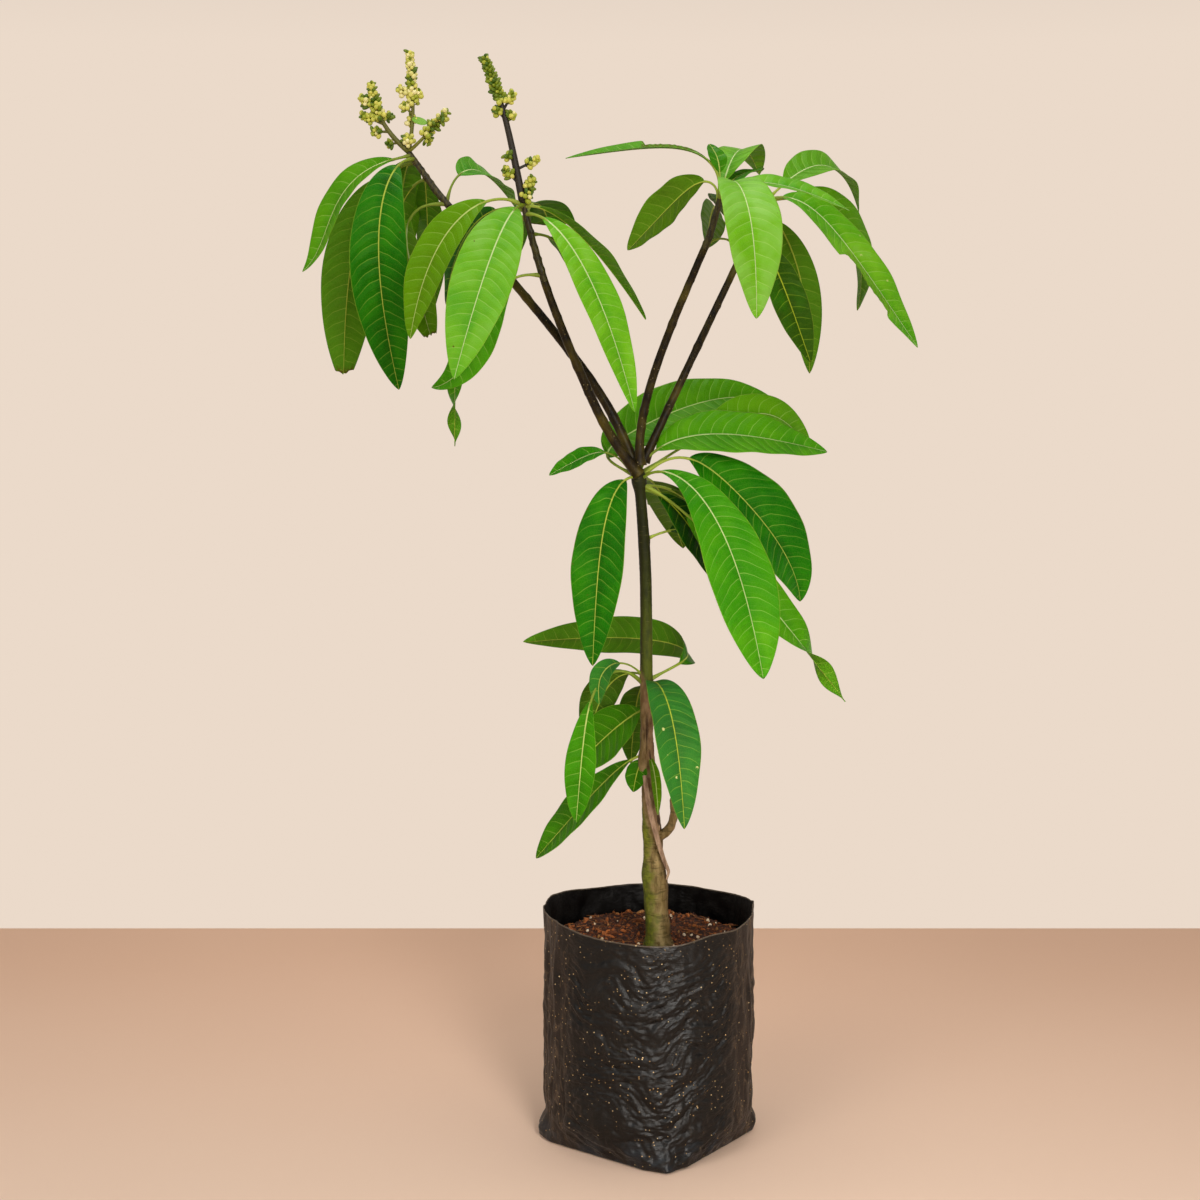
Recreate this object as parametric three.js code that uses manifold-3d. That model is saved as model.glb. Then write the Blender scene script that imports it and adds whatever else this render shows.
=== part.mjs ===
// A young mango tree in a black plastic grow bag, as a set of separate closed solids.
//
// Units are millimetres and +Z is up. The origin is the centre of the bag's flat underside.
// Headings are degrees round +Z: 0 points along +X and 90 along +Y. Slopes are degrees above level.

import * as THREE from 'three';
import { mergeVertices } from 'three/addons/utils/BufferGeometryUtils.js';
import Module from 'manifold-3d';

const wasm = await Module();
wasm.setup();

// ---------------------------------------------------------------------------------------------
// Driving dimensions
// ---------------------------------------------------------------------------------------------

const GAP = 0.3; // clearance between neighbouring solids

const BAG = {
  height: 247, // rim above the ground
  mouthRadius: 113, // the filled bag is round above its foot
  footHalfSide: 96, // and stands on a square foot
  footCornerReach: 121, // from the centre to a folded corner
  footTurn: 8, // heading of the first corner
  squareBelow: 38, // height at which the square foot has turned round
  wallHeights: [10, 25, 40, 60, 150],
  wall: 1.6,
  rimWave: 2.5,
  segments: 32,
};

const MIX_LEVEL = 222; // top of the potting mix
const MIX_RIPPLE = 1.2;
const MIX_RINGS = 3;

// The trunk from the flat cut at the top of the mix to the fork. It leans as it rises and has
// one slight S-bend; girths are [height, radius], with the root flare first, then the swelling
// and the narrow neck of the old graft, and the swollen node under the fork last.
const TRUNK = {
  foot: [10, -30],
  lean: [-23, 12],
  sway: 3,
  forkHeight: 727,
  girths: [
    [222, 15.5],
    [232, 13.2],
    [260, 12],
    [292, 12.6],
    [318, 10.4],
    [345, 8.9],
    [404, 8],
    [440, 7.4],
    [470, 6.8],
    [640, 6.2],
    [704, 5.8],
    [718, 8],
    [727, 7.5],
  ],
  sides: 10,
  rings: 26,
};

// The dead spur of the rootstock, which hooks out of the graft and up beside the trunk.
const SPUR = { height: 338, heading: -25, rise: 10, fall: 105, length: 62, bend: 0.4, root: 6, tip: 3.2 };

// Each bough is one tapering limb. The first stretch of it is the fork itself, which belongs to
// the trunk; crotch is the length of that stretch. The shoot is the leafy end, which carries a crown.
const CROTCH = 30;
const BOUGHS = {
  left_outer: {
    start: [-2, 3, 3], heading: 163, rise: 68, fall: 48, length: 346, bend: 0.22, sharp: 2,
    root: 5.4, tip: 3.8, shoot: { heading: 163, rise: 47, fall: 54, length: 74 },
  },
  left_inner: {
    start: [0, -6, -1], heading: 200, rise: 51, fall: 65.5, length: 224, bend: 0.24, sharp: 2.3, curl: 5,
    root: 5.3, tip: 4, shoot: { heading: 200, rise: 71, fall: 75, length: 82 },
  },
  right_inner: {
    start: [2, -4, 8], heading: -22, rise: 95, fall: 65, length: 235, bend: 0.2, sharp: 1.3,
    root: 4.6, tip: 3.8, shoot: { heading: -22, rise: 64, fall: 76, length: 58 },
  },
  right_outer: {
    start: [6, 4, 12], heading: 28, rise: 62, fall: 61, length: 255, bend: 0.2, sharp: 1.3,
    root: 4.4, tip: 3.6, shoot: { heading: 28, rise: 60, fall: 62, length: 60 },
  },
};
const BOUGH_SIDES = 7;
const SHOOT_TIP = 2.8; // radius of a shoot where its last leaf stands

// A whorl's leaves stand on a thin collar round the trunk.
const COLLAR_WALL = 2.4;

// A leaf starts at `up`, as a share of its shoot's length, or as a height on the trunk in a
// whorl. It leaves along `heading` at the slope `rise` and its tip ends at the slope `fall`;
// half of that change is done at the share `bend` of its length, the more suddenly the larger
// `sharp` is, and `curl` is added towards the tip. `turn` swings the heading, half of it done at
// `turnAt`. `roll` tips the blade about its midrib, `twist` is added to that along the blade,
// and `fold` lifts both halves towards each other. The larger `full` is, the further the blade
// keeps its width towards its tip. `cut` ends the blade early, bluntly, and a bite
// [side, from, to, kept] leaves only a share of one half's width.
const LEAF = {
  petiole: 25, roll: 0, twist: 0, fold: 12, turn: 0, turnAt: 0.2, bend: 0.25, sharp: 1.3,
  curl: 0, full: 0.9, cut: 1, bites: [],
};
const PETIOLE_RADIUS = 2;
const BLADE_THICKNESS = 0.012; // share of the blade's length
const TIP_HALF_WIDTH = 1.2;
const PETIOLE_STATIONS = [0, 0.5, 1];
const BLADE_STATIONS = [0.04, 0.16, 0.32, 0.48, 0.64, 0.8, 0.93, 1];

const LEAVES = {
  left_outer: [
    { up: 0.92, heading: 191, rise: -12, fall: -94, length: 160, width: 38, roll: -38, fold: 20,
      bend: 0.44, sharp: 1.6, petiole: 19, curl: 54 },
    { up: 0.85, heading: 240, rise: 0, fall: -110, petiole: 30, length: 250, width: 62, roll: -33,
      bend: 0.2, sharp: 1.2 },
    { up: 0.8, heading: 107, rise: 20, fall: -88, petiole: 30, length: 150, width: 48, bend: 0.3 },
    { up: 0.04, heading: 185, rise: 0, fall: -106, petiole: 45, length: 135, width: 48,
      roll: -50, twist: -20,
      bend: 0.22, sharp: 2.5, cut: 0.93 },
    { up: 0.8, heading: 150, rise: -5, fall: -88, petiole: 45, length: 236, width: 64, roll: 60,
      bend: 0.2, cut: 0.92 },
    { up: 0.05, heading: 55, rise: 72, fall: -38, petiole: 38, length: 110, width: 52, roll: 30,
      bend: 0.33, sharp: 1.5 },
    { up: 0.6, heading: 92, rise: 5, fall: -75, petiole: 35, length: 175, width: 46, roll: 42 },
    { up: 0.5, heading: 125, rise: 0, fall: -75, petiole: 30, length: 170, width: 50 },
  ],
  left_inner: [
    { up: 0.97, heading: 245, rise: 0, fall: -60, petiole: 15, length: 215, width: 62, roll: -27,
      bend: 0.1, sharp: 1 },
    { up: 0.08, heading: 195, rise: 5, fall: -80, petiole: 30, length: 145, width: 44, roll: -60,
      bend: 0.22,
      sharp: 2, curl: 75 },
    { up: 0.8, heading: 138, rise: 10, fall: -90, petiole: 40, length: 250, width: 26,
      roll: -60, twist: 180, bend: 0.2 },
    { up: 0.95, heading: 198, rise: 35, fall: -80, petiole: 40, length: 165, width: 44, roll: -50,
      bend: 0.22, sharp: 1.1 },
    { up: 0.9, heading: 150, rise: 15, fall: -80, petiole: 35, length: 120, width: 40, roll: -50,
      bend: 0.35 },
    { up: 0.85, heading: -30, rise: 14, fall: -74, petiole: 20, length: 224, width: 41, roll: 35,
      bend: 0.1, sharp: 0.9 },
    { up: 0.94, heading: 15, rise: 22, fall: -55, petiole: 15, length: 162, width: 44, roll: 5,
      fold: 20, bend: 0.1, sharp: 1 },
    { up: 0.85, heading: 75, rise: 35, fall: -85, length: 170, width: 54, bend: 0.35, cut: 0.42 },
    { up: 0.7, heading: 105, rise: 25, fall: -60, petiole: 30, length: 160, width: 48, bend: 0.4 },
    { up: 0.6, heading: 48, rise: 5, fall: -60, length: 150, width: 48 },
  ],
  right_inner: [
    { up: 0.9, heading: 175, rise: 92, fall: -8, petiole: 40, length: 150, width: 38, roll: -15,
      bend: 0.22, sharp: 2, bites: [[-1, 0, 0.47, 0.35]] },
    { up: 0.75, heading: 190, rise: 92, fall: -46, petiole: 34, length: 106, width: 50, roll: 50,
      bend: 0.2, sharp: 3 },
    { up: 0.95, heading: 69, rise: 52, fall: -35, petiole: 20, length: 140, width: 42, bend: 0.55,
      sharp: 1.5 },
    { up: 0.95, heading: 120, rise: 88, fall: 40, petiole: 24, length: 36, width: 22, bend: 0.6,
      sharp: 2 },
    { up: 0.95, heading: 50, rise: 45, fall: 5, petiole: 15, length: 65, width: 36, bend: 0.4 },
    { up: 0.92, heading: -75, rise: 40, fall: -88, length: 188, width: 60, bend: 0.3 },
    { up: 0.08, heading: 30, rise: 35, fall: -80, petiole: 28, length: 80, width: 44, bend: 0.3 },
    { up: 0.96, heading: -40, rise: 50, fall: 10, petiole: 3, length: 30, width: 20 },
    { up: 0.95, heading: 10, rise: 42, fall: -24, length: 118, width: 38, roll: 25,
      bend: 0.22, sharp: 1.2 },
    { up: 0.7, heading: 92, rise: 20, fall: -30, length: 110, width: 36, roll: 50 },
    { up: 0.7, heading: 78, rise: 30, fall: -30, length: 120, width: 42, bend: 0.4 },
  ],
  right_outer: [
    { up: 0.95, heading: 40, rise: 35, fall: -66, petiole: 30, length: 144, width: 50, roll: 30,
      bend: 0.62, sharp: 1.8 },
    { up: 0.95, heading: 0, rise: 10, fall: -55, petiole: 15, length: 222, width: 57, roll: 42,
      bend: 0.14, sharp: 1.8, bites: [[-1, 0.42, 0.78, 0.45]] },
    { up: 0.9, heading: 25, rise: 10, fall: -100, petiole: 30, length: 175, width: 50, roll: 60,
      bend: 0.5, sharp: 1.5 },
    { up: 0.3, heading: -34, rise: -42, fall: -68, petiole: 18, length: 138, width: 40, roll: 45,
      bend: 0.15 },
    { up: 0.8, heading: 24, rise: -42, fall: -88, petiole: 22, length: 170, width: 38, roll: -60,
      bend: 0.3, sharp: 1.2 },
    { up: 0.7, heading: 85, rise: -5, fall: -60, length: 115, width: 44 },
  ],
};

const WHORLS = {
  whorl_fork: {
    low: 704, high: 729,
    leaves: [
      { up: 717, heading: -38, rise: 50, fall: -77, petiole: 28, length: 261, width: 70, roll: 36,
        bend: 0.155, sharp: 1.15, full: 1.35 },
      { up: 722, heading: 2, rise: 36, fall: -45, petiole: 58, length: 200, width: 80, roll: 58,
        bend: 0.2, sharp: 3, curl: -40, full: 1 },
      { up: 715, heading: -14, rise: -15, fall: -52, petiole: 60, length: 255, width: 44, roll: 95,
        twist: -85, bend: 0.1, sharp: 1 },
      { up: 728, heading: 10, rise: 62, fall: -14, petiole: 30, length: 190, width: 66, roll: 40,
        fold: 10, bend: 0.2 },
      { up: 722, heading: 185, rise: 28, fall: -14, petiole: 44, length: 232, width: 66, roll: 46,
        bend: 0.75, sharp: 1.5, turn: -165, turnAt: 0.16 },
      { up: 725, heading: 22, rise: 29, fall: -50, petiole: 54, length: 180, width: 50, roll: 50,
        bend: 0.7, sharp: 2.5, full: 1.35 },
      { up: 712, heading: 185, rise: 58, fall: -28, petiole: 53, length: 64, width: 30, roll: -30,
        bend: 0.42, sharp: 3 },
      { up: 722, heading: 229, rise: 12, fall: -86, petiole: 22, length: 203, width: 57, roll: -24,
        bend: 0.14, sharp: 1.5 },
      { up: 709, heading: -10, rise: 0, fall: -62, petiole: 20, length: 130, width: 44, roll: 40,
        bend: 0.15 },
      { up: 720, heading: 68, rise: 5, fall: -48, petiole: 40, length: 130, width: 50 },
      { up: 712, heading: 42, rise: 5, fall: -55, petiole: 45, length: 180, width: 60 },
      { up: 716, heading: 86, rise: 20, fall: -25, petiole: 40, length: 170, width: 48, roll: 60 },
    ],
  },
  leaf_below_fork: {
    low: 650, high: 661,
    leaves: [
      { up: 656, heading: 15, rise: 25, fall: -50, petiole: 30, length: 130, width: 44, roll: 40,
        bend: 0.4 },
    ],
  },
  whorl_lower: {
    low: 463, high: 517,
    leaves: [
      { up: 506, heading: 12, rise: 28, fall: -6, petiole: 42, length: 228, width: 52, roll: 62,
        bend: 0.3, turn: 160, turnAt: 0.25 },
      { up: 500, heading: 197, rise: 46, fall: -85, petiole: 80, length: 134, width: 34, roll: -60,
        bend: 0.21, sharp: 2.5, full: 1.2 },
      { up: 509, heading: 200, rise: 46, fall: -95, petiole: 36, length: 56, width: 28, roll: -30,
        bend: 0.5, sharp: 1.8 },
      { up: 512, heading: 150, rise: 15, fall: -76, petiole: 22, length: 100, width: 42, roll: 42,
        bend: 0.28, sharp: 1.5 },
      { up: 478, heading: 150, rise: -28, fall: -46, petiole: 8, length: 116, width: 54, roll: -78 },
      { up: 497, heading: -70, rise: 50, fall: -80, petiole: 15, length: 187, width: 50, bend: 0.2 },
      { up: 505, heading: 60, rise: 0, fall: -75, length: 130, width: 38 },
      { up: 500, heading: 100, rise: 5, fall: -72, length: 120, width: 38 },
    ],
  },
  whorl_graft: {
    low: 423, high: 435,
    leaves: [
      { up: 428, heading: 174, rise: -10, fall: -50, petiole: 18, length: 152, width: 46, roll: -40,
        bend: 0.1, sharp: 1.5, full: 1.15 },
      { up: 428, heading: 200, rise: -40, fall: -80, petiole: 8, length: 36, width: 26, roll: -40 },
      { up: 430, heading: -60, rise: -40, fall: -85, petiole: 5, length: 64, width: 12 },
    ],
  },
};

// Flower stalks, one list for each flowering shoot. A stalk has `sides`, shorter stalks that
// leave it at the share `at` of its length; buds crowd round the outer part of every stalk,
// from the share `from` to its tip, turned by the golden angle from one to the next.
const STALK = { radius: 1.6, from: 0.4, buds: 5, spread: 4.6, sides: [] };
const BUD_RADIUS = 3.6;
const BUDS_SHOWN = 0.32; // fewer than on the plant, each a little larger
const GOLDEN_ANGLE = 137.5;
const SEED = 7;

const FLOWERS = {
  left_outer: [
    { heading: 175, rise: 40, fall: 82, bend: 0.5, length: 84, radius: 3, from: 0.5, buds: 22, spread: 6,
      sides: [
        { at: 0.17, heading: 180, rise: -10, length: 12, buds: 4 },
        { at: 0.35, heading: 180, rise: 0, length: 18, buds: 5 },
        { at: 0.46, heading: 180, rise: 22, length: 26, buds: 8 },
        { at: 0.63, heading: 180, rise: 40, length: 24, buds: 8 },
        { at: 0.5, heading: 60, rise: 30, length: 16, buds: 5 },
      ] },
    { heading: 30, rise: 78, fall: 97, bend: 0.4, length: 104, radius: 2.4, from: 0.45, buds: 26, spread: 5.4,
      sides: [
        { at: 0.1, heading: 250, rise: 20, length: 10, from: 0, buds: 5 },
        { at: 0.27, heading: 100, rise: 50, length: 12, from: 0, buds: 5 },
        { at: 0.38, heading: 190, rise: 42, length: 15, buds: 5 },
        { at: 0.53, heading: 185, rise: 38, length: 19, buds: 5 },
        { at: 0.53, heading: 0, rise: 50, length: 11, buds: 4 },
      ] },
    { heading: -12, rise: 38, fall: 46, length: 60, radius: 2.1, from: 0.35, buds: 15, spread: 5,
      sides: [
        { at: 0.4, heading: -20, rise: -50, length: 9, from: 0, buds: 3 },
        { at: 0.55, heading: 40, rise: 60, length: 10, buds: 4 },
        { at: 0.8, heading: -60, rise: 10, length: 8, from: 0, buds: 3 },
      ] },
  ],
  left_inner: [
    { heading: 195, rise: 79, fall: 67, bend: 0.65, sharp: 2, length: 148, radius: 3.8, from: 0.7,
      buds: 26, spread: 5.6,
      sides: [
        { at: 0.03, heading: 0, rise: 62, length: 24, buds: 6 },
        { at: 0.03, heading: -30, rise: 28, length: 11, from: 0, buds: 4 },
        { at: 0.13, heading: 190, rise: 45, length: 22, buds: 6 },
        { at: 0.23, heading: 0, rise: 25, length: 24, buds: 6 },
        { at: 0.28, heading: 190, rise: 40, length: 11, buds: 3 },
        { at: 0.54, heading: 0, rise: 60, length: 12, buds: 5 },
        { at: 0.57, heading: 190, rise: 45, length: 15, buds: 6 },
        { at: 0.63, heading: -10, rise: 58, length: 20, buds: 8 },
        { at: 0.66, heading: 250, rise: 50, length: 9, buds: 3 },
      ] },
  ],
};

const COLOURS = {
  bag: { color: 0x1a1a1c, roughness: 0.45 },
  mix: { color: 0x6b3d28, roughness: 0.95 },
  bark: { color: 0x5a4a38, roughness: 0.85 },
  shoot: { color: 0x33301a, roughness: 0.7 },
  leaf: { color: 0x3f8a1f, roughness: 0.5 },
  flower: { color: 0xb9bf6a, roughness: 0.7 },
};

// ---------------------------------------------------------------------------------------------
// Small tools
// ---------------------------------------------------------------------------------------------

const radians = THREE.MathUtils.degToRad;
const lerp = THREE.MathUtils.lerp;

// A repeatable stream of numbers from 0 to 1.
function seededRandom(seed) {
  let state = seed;
  return () => {
    state = (state * 1103515245 + 12345) % 2147483648;
    return state / 2147483648;
  };
}

// Goes from 0 to 1 and passes a half at `middle`. The larger `sharp` is, the more sudden it is.
function ease(share, middle, sharp) {
  const done = (share * (1 - middle)) ** sharp;
  const left = ((1 - share) * middle) ** sharp;
  return done / (done + left);
}

// A smooth value between the listed [position, value] pairs.
function interpolate(pairs, position) {
  const next = pairs.findIndex(([at]) => at >= position);
  if (next === -1) return pairs[pairs.length - 1][1];
  if (next === 0) return pairs[0][1];
  const [fromAt, fromValue] = pairs[next - 1];
  const [toAt, toValue] = pairs[next];
  return lerp(fromValue, toValue, THREE.MathUtils.smoothstep(position, fromAt, toAt));
}

function direction(heading, slope) {
  const level = Math.cos(radians(slope));
  return new THREE.Vector3(
    level * Math.cos(radians(heading)),
    level * Math.sin(radians(heading)),
    Math.sin(radians(slope)),
  );
}

// A curve of a given length that leaves `start` along a heading and bends from one slope to
// another. Each station has its point, its direction, a level side vector and an upper normal.
const CURVE_STEPS = 48;
function growCurve(start, growth, length) {
  const { heading, rise, fall, bend = 0.25, sharp = 1.3, curl = 0, turn = 0, turnAt = 0.2 } = growth;
  const headingAt = (share) => heading + turn * ease(share, turnAt, 2.5);
  const slopeAt = (share) => lerp(rise, fall, ease(share, bend, sharp)) + curl * share ** 4;
  const points = [start.clone()];
  for (let step = 0; step < CURVE_STEPS; step += 1) {
    const share = (step + 0.5) / CURVE_STEPS;
    const stride = direction(headingAt(share), slopeAt(share)).multiplyScalar(length / CURVE_STEPS);
    points.push(points[step].clone().add(stride));
  }
  return (share) => {
    const place = Math.min(share, 1) * CURVE_STEPS;
    const step = Math.min(Math.floor(place), CURVE_STEPS - 1);
    const point = points[step].clone().lerp(points[step + 1], place - step);
    const along = direction(headingAt(share), slopeAt(share));
    const side = direction(headingAt(share) + 90, 0);
    return { point, along, side, normal: along.clone().cross(side) };
  };
}

function toSolid(geometry) {
  geometry.deleteAttribute('normal');
  geometry.deleteAttribute('uv');
  const merged = mergeVertices(geometry, 1e-4);
  const mesh = new wasm.Mesh({
    numProp: 3,
    vertProperties: new Float32Array(merged.attributes.position.array),
    triVerts: new Uint32Array(merged.index.array),
  });
  return new wasm.Manifold(mesh);
}

function toGeometry(solid) {
  const mesh = solid.getMesh();
  const geometry = new THREE.BufferGeometry();
  geometry.setAttribute('position', new THREE.BufferAttribute(new Float32Array(mesh.vertProperties), 3));
  geometry.setIndex(new THREE.BufferAttribute(new Uint32Array(mesh.triVerts), 1));
  geometry.computeVertexNormals();
  return geometry;
}

// Joins solids into the one body that holds most of them: a loose scrap is dropped, and a hollow
// that the joining has sealed is filled.
function fuse(solids) {
  const joined = solids.reduce((sum, solid) => sum.add(solid));
  const bodies = joined.decompose().sort((a, b) => b.volume() - a.volume());
  return bodies[0];
}

function touches(solid, obstacles) {
  return obstacles.some((obstacle) => !solid.intersect(obstacle).isEmpty());
}

// Moves every vertex of a geometry to the place that `place(x, y, z)` returns.
function shape(geometry, place) {
  const position = geometry.attributes.position;
  for (let i = 0; i < position.count; i += 1) {
    const moved = place(position.getX(i), position.getY(i), position.getZ(i));
    position.setXYZ(i, moved.x, moved.y, moved.z);
  }
  return geometry;
}

// A round limb along a curve, from one share of it to another, with its radius by share.
function limb(curve, radiusAt, { from = 0, to = 1, sides = BOUGH_SIDES, rings = 16 } = {}) {
  const rod = new THREE.CylinderGeometry(1, 1, 1, sides, rings);
  return toSolid(shape(rod, (x, y, z) => {
    const share = lerp(from, to, y + 0.5);
    const { point, side, normal } = curve(share);
    const radius = radiusAt(share);
    return point.addScaledVector(normal, x * radius).addScaledVector(side, z * radius);
  }));
}

// ---------------------------------------------------------------------------------------------
// Bag and potting mix
// ---------------------------------------------------------------------------------------------

// Distance from the bag's axis to its wall, by height and heading: round above, square below.
function bagRadius(height, heading) {
  const roundness = THREE.MathUtils.smoothstep(height, 0, BAG.squareBelow);
  const toCorner = Math.abs(((heading - BAG.footTurn) % 90 + 135) % 90 - 45);
  const flat = BAG.footHalfSide / Math.cos(radians(45 - toCorner));
  const square = Math.min(flat, BAG.footCornerReach);
  return lerp(square, BAG.mouthRadius, roundness);
}

// The space inside the bag's outline, brought in by `inset`, between two heights. Its top is
// made of rings and is lifted by `lift(share of the radius, heading)`.
function bagSpace(inset, low, high, lift = () => 0, rings = 1) {
  const wall = [low, ...BAG.wallHeights, high].map((height) => new THREE.Vector2(1, height));
  const top = Array.from({ length: rings }, (_, ring) => new THREE.Vector2(1 - (ring + 1) / rings, high));
  const profile = [new THREE.Vector2(0, low), ...wall, ...top];
  return toSolid(shape(new THREE.LatheGeometry(profile, BAG.segments), (x, height, z) => {
    const turned = Math.atan2(-z, x);
    const heading = THREE.MathUtils.radToDeg(turned);
    const share = Math.hypot(x, z);
    const radius = share * (bagRadius(height, heading) - inset);
    const rise = height === high ? lift(share, heading) : 0;
    return new THREE.Vector3(radius * Math.cos(turned), radius * Math.sin(turned), height + rise);
  }));
}

function makeBag() {
  const rimLift = (share, heading) => BAG.rimWave
    * (Math.sin(radians(2 * heading + 40)) + 0.5 * Math.sin(radians(5 * heading)));
  const outside = bagSpace(0, 0, BAG.height, rimLift);
  const inside = bagSpace(BAG.wall, BAG.wall, BAG.height + 4 * BAG.rimWave);
  return outside.subtract(inside);
}

// The mix fills the bag up to its level. Its top ripples between the trunk and the bag.
function makeMix() {
  const random = seededRandom(SEED);
  const phases = [random() * 360, random() * 360];
  const ripple = (share, heading) => {
    if (share < 0.3 || share > 0.9) return 0;
    const waves = [3, 7].map((count, i) => Math.sin(radians(count * heading + phases[i])) - 1);
    return MIX_RIPPLE * (waves[0] + waves[1]);
  };
  return bagSpace(BAG.wall + GAP, BAG.wall + GAP, MIX_LEVEL - GAP, ripple, MIX_RINGS);
}

// ---------------------------------------------------------------------------------------------
// Trunk and boughs
// ---------------------------------------------------------------------------------------------

function trunkAxis(height) {
  const share = (height - MIX_LEVEL) / (TRUNK.forkHeight - MIX_LEVEL);
  return new THREE.Vector3(
    TRUNK.foot[0] + TRUNK.lean[0] * share - TRUNK.sway * Math.sin(2 * Math.PI * share ** 1.4),
    TRUNK.foot[1] + TRUNK.lean[1] * share,
    height,
  );
}

function trunkRadius(height) {
  return interpolate(TRUNK.girths, height);
}

const fork = trunkAxis(TRUNK.forkHeight);

function boughCurve(bough) {
  const start = fork.clone().add(new THREE.Vector3(...bough.start));
  return growCurve(start, bough, bough.length);
}

function boughRadius(bough, margin = 0) {
  return (share) => lerp(bough.root, bough.tip, share) + margin;
}

// The trunk with its dead spur and the first stretch of each bough. A `margin` makes it thicker
// all round, for cutting others clear of it.
function makeTrunk(margin = 0) {
  const stem = toSolid(shape(
    new THREE.CylinderGeometry(1, 1, 1, TRUNK.sides, TRUNK.rings),
    (x, y, z) => {
      const height = lerp(MIX_LEVEL, TRUNK.forkHeight, y + 0.5);
      const radius = trunkRadius(height) + margin;
      return trunkAxis(height).add(new THREE.Vector3(z * radius, x * radius, 0));
    },
  ));
  const spurCurve = growCurve(trunkAxis(SPUR.height), SPUR, SPUR.length);
  const spur = limb(spurCurve, (share) => lerp(SPUR.root, SPUR.tip, share) + margin, { sides: 7, rings: 8 });
  const knotRadius = trunkRadius(TRUNK.forkHeight) + margin;
  const knot = toSolid(new THREE.SphereGeometry(knotRadius, 10, 8).translate(...fork.toArray()));
  const crotches = Object.values(BOUGHS).map((bough) => {
    const to = CROTCH / bough.length;
    return limb(boughCurve(bough), boughRadius(bough, margin), { to, rings: 4 });
  });
  return fuse([stem, spur, knot, ...crotches]);
}

function makeBough(bough) {
  const from = (CROTCH + GAP) / bough.length;
  return limb(boughCurve(bough), boughRadius(bough), { from, rings: 15 });
}

function shootCurve(bough) {
  const tip = boughCurve(bough)(1);
  const start = tip.point.addScaledVector(tip.along, GAP);
  return growCurve(start, bough.shoot, bough.shoot.length);
}

// ---------------------------------------------------------------------------------------------
// Leaves
// ---------------------------------------------------------------------------------------------

// Half of the blade's width at a share of its length: a blunt base and a long drawn-out tip.
function bladeHalfWidth(share, leaf) {
  const swell = Math.max(0, Math.sin(Math.PI * share ** leaf.full));
  return Math.max(TIP_HALF_WIDTH, (leaf.width / 2) * swell ** 0.72);
}

// A leaf is a flat box, bent along its curve: a petiole, then a folded blade.
function leafSolid(base, row) {
  const leaf = { ...LEAF, ...row };
  const total = leaf.petiole + leaf.length;
  const curve = growCurve(base, leaf, total);
  const petiole = PETIOLE_STATIONS.map((share) => ({ along: share * leaf.petiole, blade: -1 }));
  const blade = BLADE_STATIONS.map((share) => share * leaf.cut)
    .map((share) => ({ along: leaf.petiole + share * leaf.length, blade: share }));
  const stations = [...petiole, ...blade];
  const slab = new THREE.BoxGeometry(1, 1, 1, stations.length - 1, 2, 1);
  return toSolid(shape(slab, (x, y, z) => {
    const station = stations[Math.round((x + 0.5) * (stations.length - 1))];
    const { point, side, normal, along } = curve(station.along / total);
    const onBlade = station.blade >= 0;
    const tip = radians(leaf.roll + leaf.twist * Math.max(0, station.blade));
    side.applyAxisAngle(along, tip);
    normal.applyAxisAngle(along, tip);
    let across = PETIOLE_RADIUS;
    let thick = PETIOLE_RADIUS * 2;
    let lift = 0;
    if (onBlade) {
      const isBitten = ([of, from, to]) => of * y > 0 && station.blade >= from && station.blade <= to;
      const [, , , kept] = leaf.bites.find(isBitten) ?? [0, 0, 0, 1];
      const halfWidth = bladeHalfWidth(station.blade, leaf) * kept;
      across = halfWidth * Math.cos(radians(leaf.fold));
      lift = halfWidth * Math.sin(radians(leaf.fold)) * Math.abs(y) * 2;
      thick = Math.max(BLADE_THICKNESS * leaf.length, 1.2);
    }
    return point.addScaledVector(side, y * 2 * across).addScaledVector(normal, lift + z * thick);
  }));
}

// The solids of the leaves that run into none of the obstacles.
function freeLeaves(leaves, baseOf, obstacles) {
  const solids = leaves.map((leaf) => leafSolid(baseOf(leaf), leaf));
  return solids.filter((leaf) => !touches(leaf, obstacles));
}

function makeCrown(bough, leaves, obstacles) {
  const curve = shootCurve(bough);
  const stem = limb(curve, (share) => lerp(bough.tip, SHOOT_TIP, share), { rings: 6 });
  return fuse([stem, ...freeLeaves(leaves, (leaf) => curve(leaf.up).point, obstacles)]);
}

// The collar follows the trunk and is cut clear of it together with the leaves' roots.
function makeWhorl(whorl, trunkSpace, obstacles) {
  const collar = toSolid(shape(new THREE.CylinderGeometry(1, 1, 1, TRUNK.sides, 2), (x, y, z) => {
    const height = lerp(whorl.low, whorl.high, y + 0.5);
    const radius = trunkRadius(height) + COLLAR_WALL;
    return trunkAxis(height).add(new THREE.Vector3(z * radius, x * radius, 0));
  }));
  const leaves = freeLeaves(whorl.leaves, (leaf) => trunkAxis(leaf.up), obstacles);
  return fuse([fuse([collar, ...leaves]).subtract(trunkSpace)]);
}

// ---------------------------------------------------------------------------------------------
// Flowers
// ---------------------------------------------------------------------------------------------

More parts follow.
